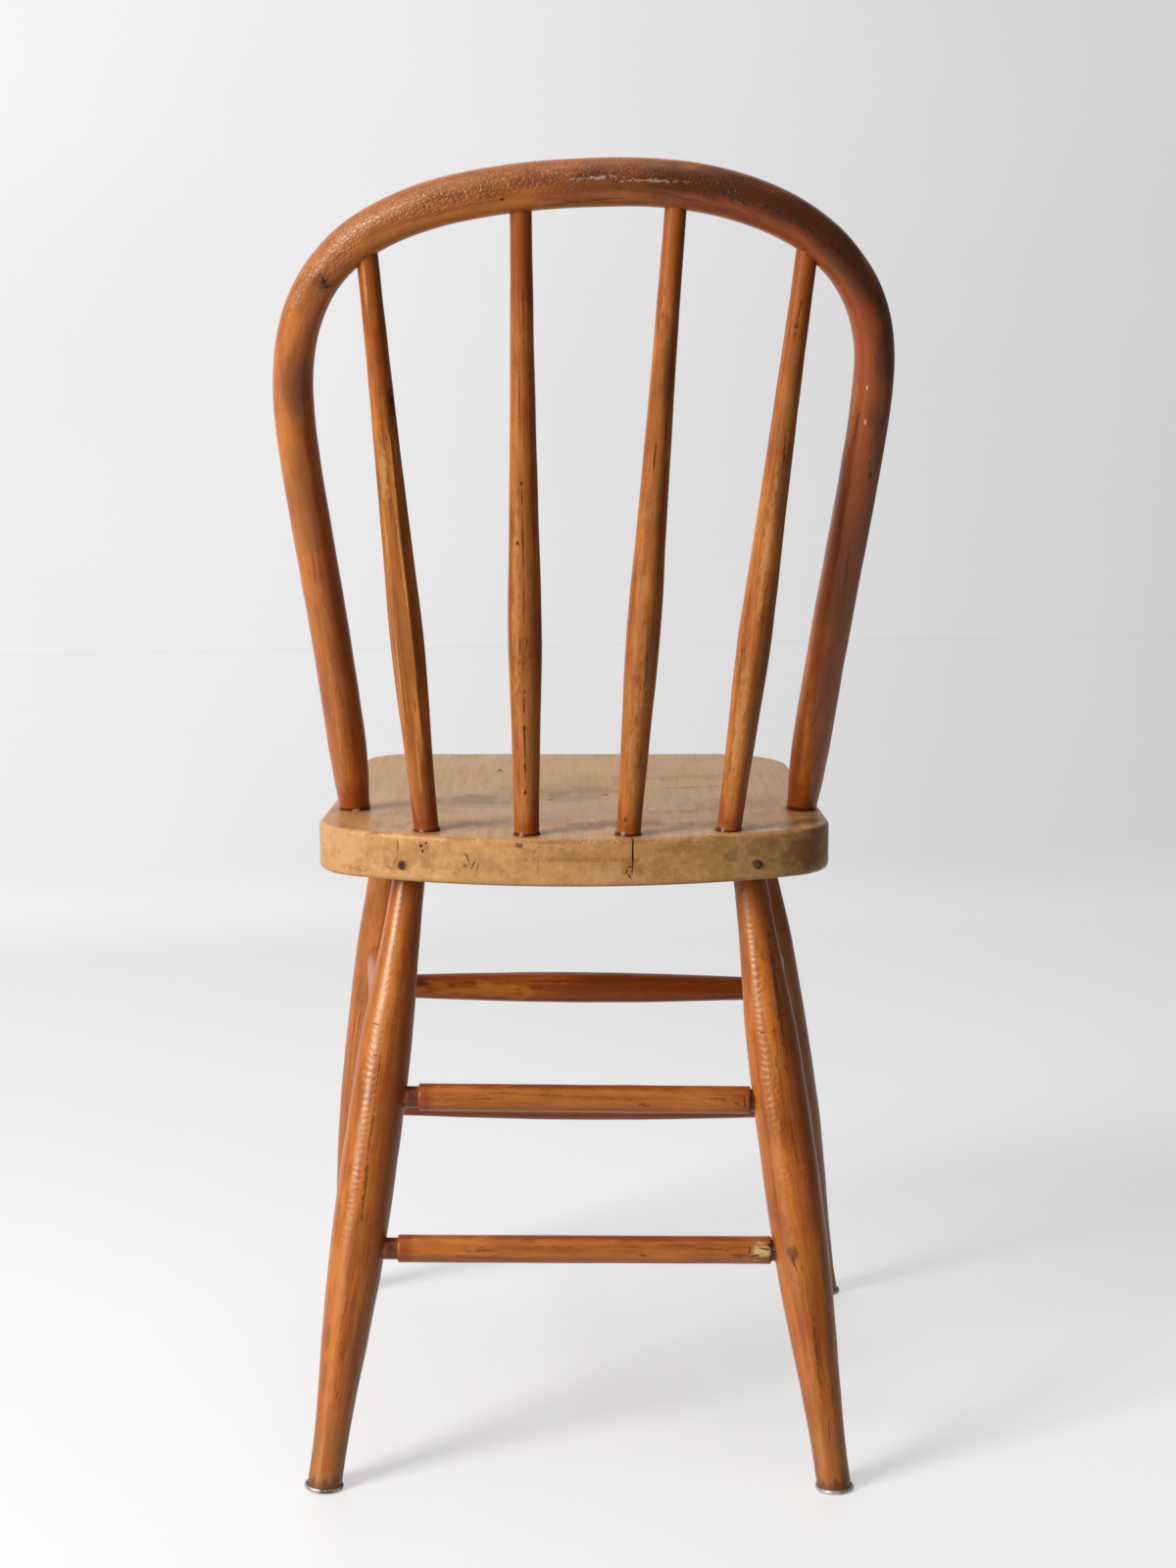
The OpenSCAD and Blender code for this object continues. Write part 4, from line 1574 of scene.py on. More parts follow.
    def _bow(self) -> None:
        """The bow: a round blank, bent round and raked back."""
        total = self.lengths[-1]
        steps = math.ceil(total / 2.6)
        outline: Outline = []
        for k in range(steps + 1):
            travel = total * k / steps
            outline.append((travel, self._bow_radius(self._along(travel)[0].y)))
        marks, crazed = self._bow_marks(outline)
        material = AMBER.dress(self.kit, "bow_finish", 5.0, marks, crazed)
        TurnedPiece("back_bow", "bow_varnish", outline, self._bend, material, 6.0, 0.25).build()

    def _bow_marks(self, outline: Outline) -> tuple[list[Mark], list[Relief]]:
        """Scar, worn varnish, grime, nicks, painted shade and painted highlights on the bow, from the
        sitter's left.

        Args:
            outline: Outline of the blank.

        Returns:
            The marks and the crazed patches.
        """
        put = partial(on_turning, outline)
        lean = math.radians(self.rake)
        level = Vector((0.0, -math.sin(lean), math.cos(lean)))
        left, right = self.tenon, outline[-1][0] - self.tenon
        other = Vector((0.0, -math.sin(lean), -math.cos(lean)))
        marks = each(
            put,
            # The red-brown mark at travel 160 and 150 degrees, along the left arm's inner side, is painted
            # shade away from the window; the one at travel 905 darkens and reddens the right half of the
            # bow.
            (BLUSH, 905, 95, 700, 66, 0, 0.75, 0.4), (BLUSH, 160, 150, 320, 26, 0, 0.45, 0.4),
            (HONEY, 300, 60, 330, 20, 0, 0.32, 0.7), (HONEY, 505, 122, 200, 13, 0, 0.75, 0.4),
            (HONEY, 395, 80, 50, 15, 0, 0.32, 0.5), (UMBER, 346, 84, 60, 30, 0, 0.70, 0.35),
            # The pale glossy strip at travel 490 and 42 degrees lowers the roughness and paints a highlight
            # under the window's reflection.
            (UMBER, 262, 84, 90, 30, 0, 0.38, 0.5), (SHEEN, 490, 42, 300, 16, 0, 0.65, 0.6),
            (UMBER, 500, 50, 260, 26, 0, 0.45, 0.6), (UMBER, 640, 62, 220, 30, 0, 0.85, 0.5),
            (BLUSH, 730, 76, 260, 40, 0, 0.60, 0.5), (GRIME, 745, 54, 350, 32, 0, 0.86, 0.5),
            (SCAR, 702, 76, 26, 3.5, 8, 0.75, 0.9), (SCAR, 727, 74, 15, 4.5, -10, 0.85, 0.8),
            (SCAR, 752, 70, 24, 3.5, 6, 0.70, 0.9), (SCAR, 781, 66, 22, 5.5, -6, 0.80, 0.9),
            (SCAR, 806, 60, 15, 4.5, 10, 0.70, 0.9), (GRIME, 672, 104, 46, 3.0, 4, 0.60, 0.8),
            (GRIME, 610, 118, 60, 3.0, -3, 0.55, 0.8), (GRIME, 423, 100, 20, 15, 0, 0.55, 0.6),
            (INK, 425, 88, 9.5, 2.2, 104, 0.75, 0.7), (INK, 421, 110, 10, 2.6, 52, 0.75, 0.7),
            (INK, 422.5, 98, 6.5, 5.5, 60, 0.85, 0.5), (INK, 556, 96, 3.6, 2.2, 0, 0.9, 0.3),
            (FLECK, 877, 112, 4.0, 1.8, 0, 0.9, 0.2), (FLECK, 901, 106, 5.0, 1.8, 0, 0.9, 0.2),
            (SCAR, 938, 67, 6.5, 3.8, 0, 0.85, 0.5), (SCAR, 929, 74, 4.0, 2.0, 0, 0.7, 0.4),
            (GRIME, 906, 130, 30, 2.6, 3, 0.85, 0.6), (GRIME, 1010, 84, 44, 2.2, -4, 0.55, 0.7),
            (GRIME, 1120, 96, 30, 2.4, 5, 0.50, 0.7), (GRIME, 215, 84, 38, 2.0, 4, 0.50, 0.7),
            (GRIME, 118, 98, 26, 2.2, -5, 0.45, 0.7),
        )
        marks += [
            band(BLUSH, left + 4, 20, 0.55, 0.5, level),
            band(BLUSH, right - 4, 20, 0.55, 0.5, other),
            band(POOL, left + 0.6, 2.2, 1.0, 0.12, level),
            band(POOL, right - 0.6, 2.2, 1.0, 0.12, other),
        ]
        marks += each(
            put,
            # The two pale streaks at travel 614 and 650 are painted glints along the crazed highlight.
            (FLECK, left + 4.6, 100, 1.8, 7.0, 0, 0.9, 0.2), (GLINT, 614, 62, 26, 1.8, -3, 0.42, 1.4),
            (GLINT, 650, 68, 34, 1.6, -2, 0.38, 1.4),
        )
        crazed = [
            Relief(put(GLINT, 510, 44, 400, 40, 0, 1.0, 0.4), 2.2, 0.24, 0.16),
            Relief(put(GLINT, 700, 60, 200, 30, 0, 1.0, 0.6), 2.2, 0.12, 0.14),
        ]
        return marks, crazed

    def _spindle(self, index: int) -> None:
        """One spindle, from its socket in the seat into the bow.

        Args:
            index: Which spindle, counted from the sitter's left.
        """
        foot = self.layout.spindle_place(index)
        head_x = self.spindle_heads[index]
        crown = min(
            (p for p in self.line if p.y > self.height * 0.7), key=lambda p: abs(p.x - head_x)
        )
        head = self._out_of_plane(Vector((head_x, crown.y)), 0.0)
        length = (head - foot).length
        swell = self.spindle_belly - self.spindle_foot
        shares = [
            (0.03, self.spindle_foot),
            (0.15, self.spindle_foot + swell * 0.4),
            (0.32, self.spindle_belly),
            (0.5, self.spindle_foot + swell * 0.45),
            (0.7, self.spindle_top + 2.1),
            (0.92, self.spindle_top),
        ]
        plain = flowing([(s * length, d) for s, d in shares], 3.0)
        r = self.spindle_foot / 2
        bead = [(-4.0, r + 0.9), (0.2, r + 0.9), (0.9, r + 0.75), (1.6, r + 0.35), (2.2, r), (6.0, r)]
        outline = bead + run_on(plain, plain[0][0], length, 3.0)
        place = standing(foot, head, LEFT)
        marks, flats = self._spindle_wear(index, outline)
        name = self.names[index]
        material = HONEYED.dress(self.kit, f"spindle_finish_{name}", 11.0 + index * 2.3, marks)
        TurnedPiece(
            f"spindle_{name}", "spindle_varnish", outline, lambda at: place @ at, material,
            20.0 + index, 0.2, flats, 48,
        ).build()

    def _spindle_wear(self, index: int, outline: Outline) -> tuple[list[Mark], tuple[Flat, ...]]:
        """Marks and shaved flats of one spindle, from the sitter's left.

        Args:
            index: Which spindle.
            outline: Its outline.

        Returns:
            The marks and the flats.
        """
        put = partial(on_turning, outline)
        top = outline[-1][0]
        marks = [
            band(BLUSH, 4.0, 24.0, 0.65, 0.6),
            band(BLUSH, top - 22, 90.0, 0.50, 0.8),
        ]
        flats: tuple[Flat, ...] = ()
        if index == 0:
            marks += self._shaved_marks(put)
            flats = (Flat(84, 40, 290, 1.5), Flat(28, 60, 280, 0.9), Flat(138, 50, 300, 1.0))
        elif index == 1:
            marks += self._split_marks(put)
            flats = (Flat(150, 120, 300, 0.4),)
        elif index == 2:
            marks += each(
                put,
                (BARE, 150, 74, 150, 9, 0, 0.28, 0.7), (BARE, 60, 80, 90, 8, 0, 0.40, 0.6),
                (STAIN, 236, 88, 120, 5, 3, 0.38, 0.8), (UMBER, 200, 78, 60, 12, 0, 0.35, 0.7),
                (GRIME, 262, 80, 26, 1.6, 2, 0.80, 0.7), (SOOT, 322, 104, 70, 6, 0, 0.36, 0.8),
                (SOOT, 128, 112, 70, 6, 0, 0.30, 0.8), (GRIME, 118, 108, 60, 1.8, -2, 0.60, 0.7),
                (NICK, 12, 70, 5, 3, 0, 0.8, 0.5),
            )
            flats = (Flat(78, 60, 250, 0.5),)
        else:
            marks += each(
                put,
                (BARE, 200, 84, 120, 6, 0, 0.50, 0.7), (BARE, 75, 72, 100, 8, 0, 0.55, 0.6),
                (STAIN, 300, 98, 120, 7, 0, 0.60, 0.8), (SOOT, 236, 108, 90, 7, 0, 0.32, 0.8),
                (GRIME, 352, 84, 30, 1.8, 3, 0.80, 0.8), (GRIME, 262, 104, 36, 1.8, -3, 0.75, 0.7),
                (GRIME, 160, 100, 44, 2.0, 2, 0.60, 0.8),
            )
            flats = (Flat(70, 80, 230, 0.5),)
        marks.append(band(POOL, 0.6, 2.6, 1.0, 0.12))
        return marks, flats

    @staticmethod
    def _shaved_marks(put: Callable[..., Mark]) -> list[Mark]:
        """Pale wood along the shaved flats of the first spindle, and its dark nick.

        Args:
            put: Lays a mark on the spindle.

        Returns:
            The marks.
        """
        return each(
            put,
            (BARE, 246, 62, 50, 6.5, 0, 0.95, 0.5), (BARE, 205, 50, 46, 2.6, 0, 0.80, 0.5),
            (BARE, 188, 104, 100, 1.5, -1, 0.75, 0.35), (BARE, 118, 52, 70, 2.0, 1, 0.75, 0.35),
            (BARE, 46, 88, 56, 1.6, 0, 0.70, 0.35), (STAIN, 150, 80, 90, 9, 0, 0.45, 0.7),
            (BARE, 372, 66, 44, 2.4, 0, 0.70, 0.4), (GRIME, 292, 140, 30, 9, 0, 0.60, 0.6),
            (INK, 296, 150, 9, 3.2, 0, 1.0, 0.4), (GRIME, 90, 96, 12, 2.0, 0, 0.60, 0.8),
        )

    @staticmethod
    def _split_marks(put: Callable[..., Mark]) -> list[Mark]:
        """Drying splits down the middle of the second spindle.

        Args:
            put: Lays a mark on the spindle.

        Returns:
            The marks.
        """
        return each(
            put,
            (BARE, 150, 60, 160, 6, 0, 0.40, 0.7), (STAIN, 196, 90, 130, 4.5, 0, 0.60, 0.7),
            (STAIN, 60, 88, 90, 5, 0, 0.60, 0.7), (INK, 241, 84, 4, 1.6, 0, 0.9, 0.3),
            (NICK, 231, 86, 16, 1.2, 0, 0.95, 0.4), (NICK, 202, 88, 46, 1.3, -1, 1.0, 0.35),
            (NICK, 166, 90, 34, 1.0, 0, 0.8, 0.5), (SCAR, 201, 66, 3.4, 2.4, 0, 1.0, 0.2),
            (NICK, 132, 74, 18, 1.0, 0, 0.7, 0.6), (NICK, 92, 88, 28, 2.2, 0, 0.7, 0.9),
            (NICK, 66, 87, 34, 1.6, -1, 0.95, 0.6), (SCAR, 48, 88, 15, 1.8, 0, 0.9, 0.5),
            (SCAR, 31, 85, 5.0, 2.4, 0, 0.9, 0.5), (GRIME, 300, 76, 50, 1.6, 0, 0.70, 0.6),
            (GRIME, 352, 100, 44, 1.8, 0, 0.60, 0.6),
        )


# ---- legs and rungs -------------------------------------------------------


@dataclass
class Undercarriage:
    """Four splayed legs, eight rungs and the glides under the feet."""

    layout: Layout
    kit: Kit
    belly: float = 38.5
    top: float = 22.8
    foot: float = 23.2
    rung_d: float = 19.0
    rung_end: float = 15.0
    front_belly: float = 24.0
    front_end: float = 18.0
    neck: float = 7.0
    tenon_in: float = 8.0

    def build(self) -> None:
        """Makes the legs, then the rungs, then the glides."""
        self.stations = self._leg_stations()
        for rear in (True, False):
            for left in (True, False):
                self._leg(rear, left)
                self._glide(rear, left)
        self._rungs()

    def _leg_stations(self) -> Stations:
        """Shares of a leg's length with its diameters.

        Returns:
            The shares and diameters, from the foot up.
        """
        belly = self.belly
        return [
            (0.05, self.foot), (0.14, self.foot + 3), (0.24, belly - 6.6), (0.36, belly - 1.4),
            (0.5, belly), (0.62, belly - 1), (0.74, belly - 3.4), (0.87, self.top + 4.6), (0.985, self.top),
        ]

    def _leg(self, rear: bool, left: bool) -> None:
        """One leg, cut level for its glide.

        Args:
            rear: Whether it is a rear leg.
            left: Whether it is on the sitter's left.
        """
        lay = self.layout
        foot, head = lay.leg_point(rear, left, 0.0), lay.leg_point(rear, left, lay.seat_bottom)
        length = (head - foot).length
        outline = run_on(flowing([(s * length, d) for s, d in self.stations], 2.6), -8.0, length + 10.0, 2.6)
        place = standing(foot, head, LEFT)
        name = f"{'rear' if rear else 'front'}_leg_{'left' if left else 'right'}"
        marks, chattered = self._leg_wear(rear, left, outline)
        material = AMBER.dress(
            self.kit, f"{name}_finish", 31.0 + 3.1 * rear + 5.7 * left, marks, chattered=chattered
        )
        ground = lay.glide_space(rear, left) @ Matrix.Translation(UP * (lay.glide_t - 0.5))
        TurnedPiece(
            name, "leg_varnish", outline, lambda at: place @ at, material,
            40.0 + 2 * rear + left, 0.3, (), 72, ground,
        ).build()

    def _leg_wear(self, rear: bool, left: bool, outline: Outline) -> tuple[list[Mark], list[Relief]]:
        """Marks, painted shade, painted highlights and tool chatter of one leg.

        Args:
            rear: Whether it is a rear leg.
            left: Whether it is on the sitter's left.
            outline: The leg's outline.

        Returns:
            The marks and the chatter.
        """
        put = partial(on_turning, outline)
        top = outline[-1][0] - 10.0
        marks = [
            # The long red-brown strip at 150 degrees, down every leg, is painted shade on the side away from
            # the window.
            put(BLUSH, 300, 150, 420, 34, 0, 0.50, 0.4),
            band(STAIN, 4.0, 46.0, 0.55, 0.9),
            band(GRIME, 1.0, 13.0, 0.65, 0.9),
            band(GRIME, top, 9.0, 0.55, 0.7),
            band(SCAR, top, 2.2, 0.9, 0.2),
        ]
        chatter = [Relief(put(GLINT, 338, 66, 380, 64, 0, 1.0, 0.5), 4.6, 0.060)]
        if rear and left:
            marks += each(
                put,
                (GRIME, 287, 86, 46, 1.5, -1, 0.75, 0.6), (GRIME, 243, 88, 54, 1.7, 1, 0.70, 0.7),
                (GRIME, 206, 92, 44, 2.4, -2, 0.80, 0.8), (UMBER, 330, 108, 130, 6.0, 2, 0.45, 0.7),
                # The pale glossy strip at 345 and 62 degrees lowers the roughness and paints a highlight
                # along the leg.
                (HONEY, 150, 62, 240, 12, 0, 0.40, 0.7), (SHEEN, 345, 62, 190, 9, 0, 0.45, 0.6),
                (NICK, 318, 64, 1.2, 7, 0, 0.7, 0.5), (NICK, 297, 74, 1.0, 5, 0, 0.7, 0.5),
                (GRIME, 120, 84, 30, 1.6, 4, 0.6, 0.7), (NICK, 66, 96, 9, 1.4, 8, 0.7, 0.6),
            )
        elif rear:
            marks += each(
                put,
                # The long dark strip at 338 and 116 degrees, on the leg's side away from the window, is
                # painted shade.
                (SCAR, 292, 90, 9, 2.2, 4, 0.90, 0.4), (GRIME, 338, 116, 110, 5.5, 2, 0.75, 0.6),
                (HONEY, 325, 84, 130, 7, 0, 0.65, 0.5), (HONEY, 205, 72, 130, 9, 0, 0.45, 0.6),
                (NICK, 314, 72, 1.3, 6, 0, 0.7, 0.5), (GRIME, 163, 68, 13, 11, 0, 0.70, 0.6),
                (SCAR, 157, 68, 13, 2.4, -6, 0.85, 0.5), (GRIME, 238, 102, 60, 2.0, -3, 0.55, 0.7),
                (GRIME, 96, 90, 70, 2.4, 2, 0.55, 0.8), (SCAR, 40, 96, 16, 1.6, 5, 0.7, 0.7),
            )
        else:
            marks += each(
                put,
                (GRIME, 250, 60, 60, 2.2, 3, 0.5, 0.8), (GRIME, 170, 140, 50, 2.2, -3, 0.6, 0.8),
                (SCAR, 232, 148, 12, 3.0, 0, 0.7, 0.7), (NICK, 120, 250, 14, 2.0, 0, 0.8, 0.5),
                (BARE, 210, 270, 70, 9, 0, 0.5, 0.8),
            )
        return marks, chatter

    def _leg_radius(self, height: float) -> float:
        """Radius of a leg at a height above the floor."""
        shares = [(s * self.layout.seat_bottom, d / 2) for s, d in self.stations]
        return radius_at(shares, height)

    def _shoulder(self, start: Vector, other: Vector, rear: bool, left: bool, end_d: float) -> float:
        """Distance from a leg's middle to the shoulder of a rung that leaves it.

        Args:
            start: Where the rung leaves the leg's axis.
            other: Its far end.
            rear: Whether it is a rear leg.
            left: Whether it is on the sitter's left.
            end_d: The rung's diameter there.

        Returns:
            The distance.
        """
        fall = self.layout.leg_point(rear, left, 0.0) - self.layout.leg_point(rear, left, 1.0)
        run = (other - start).normalized()
        lean = abs(fall.x * run.x + fall.y * run.y)
        return self._leg_radius(start.z) * math.sqrt(1 + lean * lean) + lean * end_d / 2 + 0.5

    def _rungs(self) -> None:
        """The eight rungs, each from its first leg to its second."""
        rear_left, rear_right = (True, True), (True, False)
        front_left, front_right = (False, True), (False, False)
        plan = [
            ("rear_rung_upper", rear_left, rear_right, 258.5, 1.2, self.neck, False),
            ("rear_rung_lower", rear_left, rear_right, 158.0, 0.6, self.neck, False),
            ("front_rung_upper", front_left, front_right, 264.0, 1.2, 0.0, True),
            ("front_rung_lower", front_left, front_right, 164.0, 1.2, 0.0, True),
            ("side_rung_left_upper", rear_left, front_left, 292.0, 0.0, 0.0, False),
            ("side_rung_left_lower", rear_left, front_left, 192.0, 0.0, 0.0, False),
            ("side_rung_right_upper", rear_right, front_right, 292.0, 0.0, 0.0, False),
            ("side_rung_right_lower", rear_right, front_right, 192.0, 0.0, 0.0, False),
        ]
        for index, (name, first, second, height, fall, neck, swelled) in enumerate(plan):
            start = self.layout.leg_point(*first, height + fall)
            end = self.layout.leg_point(*second, height - fall)
            end_d = self.front_end if swelled else self.rung_d
            low = self._shoulder(start, end, *first, end_d) + neck
            high = (end - start).length - self._shoulder(end, start, *second, end_d)
            outline = self._rung_outline(low, high, swelled)
            place = standing(start, end, UP)
            marks = self._rung_marks(name, outline, low, high)
            finish = REDDER if swelled else AMBER
            material = finish.dress(self.kit, f"{name}_finish", 51.0 + index * 1.9, marks)
            TurnedPiece(
                name, "rung_varnish", outline, lambda at, place=place: place @ at, material,
                60.0 + index, 0.15, (), 48,
            ).build()

    def _rung_outline(self, low: float, high: float, swelled: bool) -> Outline:
        """Outline of a rung with a rounded shoulder at each end.

        Args:
            low: First shoulder.
            high: Second shoulder.
            swelled: Whether its middle is thicker.

        Returns:
            The outline.
        """
        end_r = self.rung_end / 2
        body_r = (self.front_end if swelled else self.rung_d) / 2
        swell = (self.front_belly - self.front_end) / 2 if swelled else 0.0
        step = (body_r - end_r) * 0.8
        body: Outline = []
        count = math.ceil((high - low) / 3.0)
        for k in range(count + 1):
            share = k / count
            body.append((blend(low + step, high - step, share), body_r + swell * math.sin(math.pi * share)))
        rise = [
            (low + step * (1 - math.cos(a)), blend(body_r - step, body_r, math.sin(a)))
            for a in (0.0, 0.4, 0.8, 1.2)
        ]
        drop = [(high - (h - low), r) for h, r in reversed(rise)]
        first_tenon = [(low - self.tenon_in - self.neck, end_r), (low - 0.05, end_r)]
        second_tenon = [(high + 0.05, end_r), (high + self.tenon_in, end_r)]
        return first_tenon + rise + body + drop + second_tenon

    def _rung_marks(self, name: str, outline: Outline, low: float, high: float) -> list[Mark]:
        """Marks of one rung, from its first leg.

        Args:
            name: The rung.
            outline: Its outline.
            low: Its first shoulder.
            high: Its second shoulder.

        Returns:
            The marks.
        """
        put = partial(on_turning, outline)
        middle = (low + high) / 2
        marks = [
            band(BLUSH, low, 13.0, 0.75, 0.5),
            band(GRIME, low - 4, 4.6, 0.85, 0.3),
            band(BLUSH, high, 12.0, 0.60, 0.5),
            band(GRIME, high + 1, 3.0, 0.85, 0.3),
        ]
        if name.startswith("rear"):
            marks += each(
                put,
                (BLUSH, middle, 10, high - low, 11, 0, 0.7, 0.4),
                (GRIME, middle + 40, 100, 9, 2.2, 8, 0.85, 0.6),
                (GRIME, middle - 70, 80, 22, 1.4, -3, 0.65, 0.7),
                (GRIME, middle + 88, 70, 26, 1.5, 3, 0.65, 0.7),
                (GRIME, middle - 20, 64, 40, 1.3, 2, 0.60, 0.7),
            )
        if name == "rear_rung_lower":
            marks += each(
                put,
                (FLECK, high - 8, 84, 17, 13, 0, 0.85, 0.6), (INK, high - 4, 70, 13, 1.2, 12, 1.0, 0.3),
                (INK, high - 11, 96, 12, 1.1, -14, 1.0, 0.3), (SCAR, high - 15, 74, 1.4, 8, 6, 0.9, 0.4),
                (GRIME, high - 22, 100, 14, 4.0, 0, 0.70, 0.7), (INK, high - 0.5, 56, 5, 5, 0, 0.9, 0.4),
            )
        elif name == "rear_rung_upper":
            marks += each(
                put,
                (SCAR, high - 4, 84, 1.6, 11, 0, 0.85, 0.5), (SCAR, high - 9, 92, 5, 2.0, 0, 0.75, 0.6),
            )
        elif name == "front_rung_upper":
            marks += each(
                put,
                (BLUSH, middle + 50, 70, 180, 34, 0, 0.55, 0.5),
                (UMBER, middle + 24, 72, 110, 22, 0, 0.45, 0.6),
                (HONEY, middle - 78, 98, 120, 17, 0, 0.50, 0.6),
                (GRIME, middle - 84, 74, 26, 6, 0, 0.35, 0.8), (SCAR, low + 8, 64, 34, 7, 0, 0.55, 0.7),
                (GRIME, middle - 20, 55, 90, 2.0, 0, 0.6, 0.7),
            )
        return marks

    def _glide(self, rear: bool, left: bool) -> None:
        """A nailed-on glide: a pressed cap with a rolled rim.

        Args:
            rear: Whether it is a rear leg.
            left: Whether it is on the sitter's left.
        """
        r = self.layout.glide_d / 2
        outline = [
            (0.15, r * 0.55), (0.0, r * 0.8), (0.1, r - 1.0), (0.5, r - 0.35), (1.1, r - 0.05), (1.9, r),
            (2.5, r - 0.2), (2.9, r - 0.6), (3.0, r - 1.0), (2.85, r - 1.4), (2.4, r - 1.6), (2.3, r * 0.5),
        ]
        space = self.layout.glide_space(rear, left)
        end, side = ("rear" if rear else "front"), ("left" if left else "right")
        finish = DIRTY_GLIDE if left else GLIDE_METAL
        TurnedPiece(
            f"glide_{end}_{side}", "glide_metal", outline, lambda at: space @ at,
            finish.dress(f"glide_finish_{end}_{side}"), 70.0 + 2 * rear + left, 0.12, (), 72,
        ).build()


# ---- nails ----------------------------------------------------------------


@dataclass
class Nails:
    """Two nails in the seat's back edge and one in the right rear leg."""

    layout: Layout
    seat_head: float = 6.4
    seat_shank: float = 2.8
    seat_length: float = 48.0
    rung_head: float = 4.6
    rung_shank: float = 2.2
    rung_length: float = 28.0
    proud: float = 0.15
    rung_offset: float = 7.0
    rung_height: float = 162.5
    rung_proud: float = 0.4
    leg_r: float = 18.3

    def build(self) -> None:
        """Drives the nails."""
        iron = NAIL_IRON.dress("seat_nail_finish")
        for left in (True, False):
            head = self.layout.seat_nail(left) + BACK * self.proud
            node = f"seat_nail_{'left' if left else 'right'}"
            self._nail(node, head, self.seat_head, self.seat_shank, self.seat_length, iron, 80.0 + left)
        axis = self.layout.leg_point(True, False, self.rung_height)
        bulge = math.sqrt(self.leg_r**2 - self.rung_offset**2)
        head = Vector((axis.x + self.rung_offset, axis.y + bulge + self.rung_proud, self.rung_height))
        worn = WORN_NAIL.dress("rung_nail_finish")
        self._nail("rung_nail", head, self.rung_head, self.rung_shank, self.rung_length, worn, 84.0)

    @staticmethod
    def _nail(
        node: str, head: Vector, head_d: float, shank_d: float, length: float,
        material: bpy.types.Material, seed: float,
    ) -> None:
        """One nail that points forward, with its head's face at the given place.

        Args:
            node: The CAD node it stands for.
            head: Middle of the head's face.
            head_d: Width of the head.
            shank_d: Width of the shank.
            length: Length over all.
            material: Its finish.
            seed: Start of its small dents.
        """
        r = head_d / 2
        outline = [
            (-length + 0.2, 0.15), (-length + 4.0, shank_d / 2), (-1.7, shank_d / 2), (-1.6, r * 0.9),
            (-1.2, r), (-0.5, r), (-0.2, r * 0.9), (-0.06, r * 0.7), (0.0, r * 0.4),
        ]
        place = standing(head, head + BACK, UP)
        TurnedPiece(
            node, "nail_iron", outline, lambda at: place @ at, material, seed, 0.12, (), 40,
        ).build()


# ---- studio ---------------------------------------------------------------


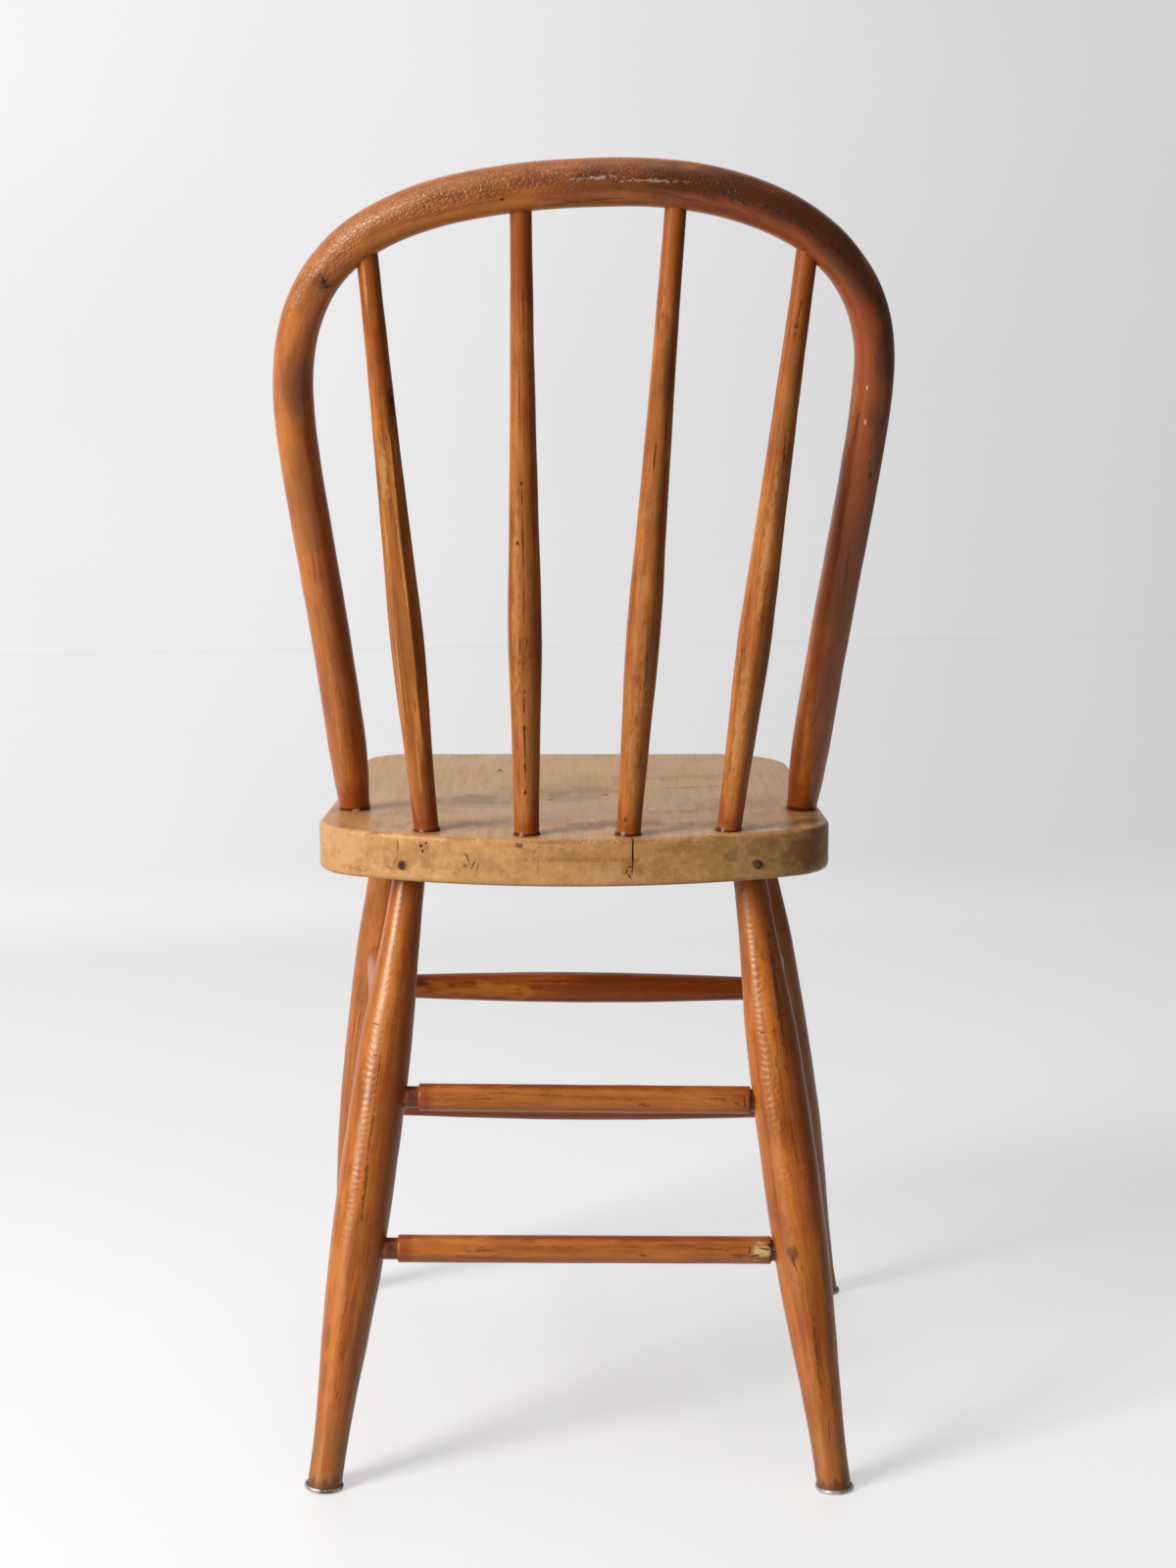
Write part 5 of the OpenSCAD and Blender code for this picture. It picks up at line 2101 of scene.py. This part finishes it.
@dataclass(frozen=True)
class Studio:
    """Pale painted floor and wall, soft window light and the camera."""

    wall_y: float = -1.66
    wall_turn: float = 9.0
    cove_r: float = 0.09
    wall_height: float = 3.2
    half_width: float = 3.2
    floor_front: float = 2.6
    camera_at: Triple = (-0.0030, 2.1764, 0.7953)
    camera_pitch: float = 8.909
    camera_lens: float = 69.55

    def build(self) -> None:
        """Sets the room, the lamps, the world and the camera."""
        self._room()
        self._lamp("window", (2.45, 2.05, 1.85), (0.0, 0.0, 0.45), (1.15, 2.1), 156.0, (1.0, 0.99, 0.975))
        self._lamp("skylight", (0.4, 0.2, 3.1), (0.0, 0.0, 0.0), (2.2, 2.2), 20.0, (0.97, 0.985, 1.0))
        self._world()
        self._camera()

    def _room(self) -> None:
        """Floor and wall in one sheet with a small cove between them."""
        bm = bmesh.new()
        path = [(self.floor_front, 0.0), (self.wall_y + self.cove_r, 0.0)]
        for k in range(1, 9):
            a = math.radians(90 * k / 8)
            path.append((
                self.wall_y + self.cove_r * (1 - math.sin(a)),
                self.cove_r * (1 - math.cos(a)),
            ))
        path.append((self.wall_y, self.wall_height))
        verts = [bm.verts.new((-self.half_width, y, z)) for y, z in path]
        edges = [bm.edges.new(pair) for pair in zip(verts, verts[1:])]
        grown = bmesh.ops.extrude_edge_only(bm, edges=edges)["geom"]
        fresh = [part for part in grown if isinstance(part, bmesh.types.BMVert)]
        bmesh.ops.translate(bm, vec=(2 * self.half_width, 0.0, 0.0), verts=fresh)
        bmesh.ops.recalc_face_normals(bm, faces=bm.faces)
        mesh = to_mesh(bm, "room", self._paint(), 30.0)
        mesh.transform(Matrix.Rotation(math.radians(self.wall_turn), 4, "Z"))
        room = show("room", mesh)

    @staticmethod
    def _paint() -> bpy.types.Material:
        """Pale satin paint that glows for camera and glossy rays, with painted light and painted shade in
        the glow and the colour.

        Returns:
            The material.
        """
        material, board, shader = new_material("room_paint")
        place = board.node("ShaderNodeTexCoord").outputs["Object"]
        across, depth, height = board.node("ShaderNodeSeparateXYZ", {0: place}).outputs
        drift = board.node("ShaderNodeTexNoise", {"Vector": place, "Scale": 1.6, "Detail": 3.0})
        wall = board.paint(board.spread(drift.outputs[0], 0.3, 0.7), (0.55, 0.55, 0.56), (0.58, 0.58, 0.59))
        rise = board.spread(height, 0.0, 0.07)
        # Beyond the view, towards the right and the front, paint and glow fade dark: painted shade that
        # keeps those parts from lighting the chair and from showing in its gloss.
        near = board.times(board.spread(across, -1.9, -1.1), board.spread(depth, 1.6, 0.8))
        paint = board.paint(rise, (0.44, 0.44, 0.44), wall)
        board.plug(shader.inputs["Base Color"], board.paint(near, (0.20, 0.20, 0.20), paint))
        path = board.node("ShaderNodeLightPath").outputs
        seen = board.plus(path["Is Camera Ray"], path["Is Glossy Ray"])
        seen = board.plus(seen, path["Is Transmission Ray"], clamp=True)
        shader.inputs["Emission Color"].default_value = (1.0, 1.0, 1.0, 1.0)
        # The glow is painted light: it grows towards the front of the floor and towards the window's side of
        # the wall, standing for the window's fall-off.
        far = board.spread(depth, -1.7, 0.6, 0.39, 0.46)
        glow = board.level(rise, far, board.spread(across, -1.1, 0.3, 0.26, 0.31))
        joint = board.sum("ABSOLUTE", board.minus(height, 0.371))
        glow = board.times(glow, board.spread(joint, 0.0, 0.004, 0.93, 1.0))
        glow = board.times(glow, board.level(near, 0.1, 1.0))
        board.plug(shader.inputs["Emission Strength"], board.times(seen, glow))
        shader.inputs["Roughness"].default_value = 0.5
        return material

    @staticmethod
    def _lamp(
        name: str, at: Triple, aim: Triple,
        size: tuple[float, float], power: float, colour: Colour,
    ) -> None:
        """A large soft lamp that faces a point.

        Args:
            name: Its name.
            at: Where it hangs.
            aim: What it faces.
            size: Its width and height.
            power: Its power in watts.
            colour: Its colour.
        """
        lamp = bpy.data.lights.new(name, "AREA")
        lamp.shape = "RECTANGLE"
        lamp.size, lamp.size_y = size
        lamp.energy = power
        lamp.color = colour
        holder = show(name, lamp)
        holder.location = at
        holder.rotation_euler = (Vector(aim) - Vector(at)).to_track_quat("-Z", "Y").to_euler()

    @staticmethod
    def _world() -> None:
        """Even light from all round."""
        world = bpy.data.worlds.new("daylight")
        world.use_nodes = True
        sky = world.node_tree.nodes["Background"]
        sky.inputs["Color"].default_value = (0.93, 0.96, 1.0, 1.0)
        sky.inputs["Strength"].default_value = 0.18
        bpy.context.scene.world = world

    def _camera(self) -> None:
        """The camera, behind the chair and a little above the seat."""
        data = bpy.data.cameras.new("camera")
        data.lens = self.camera_lens
        data.sensor_width = 36.0
        holder = show("camera", data)
        holder.location = self.camera_at
        holder.rotation_euler = (math.radians(90 - self.camera_pitch), 0.0, math.pi)
        bpy.context.scene.camera = holder


def main() -> None:
    """Builds the chair piece by piece, then the room round it."""
    logging.basicConfig(level=logging.INFO, format="%(message)s")
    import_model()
    bpy.context.scene.view_settings.view_transform = "Standard"
    layout, kit = Layout(), Kit()
    Seat(layout, kit).build()
    Back(layout, kit).build()
    Undercarriage(layout, kit).build()
    Nails(layout).build()
    Studio().build()


if __name__ == "__main__":
    main()
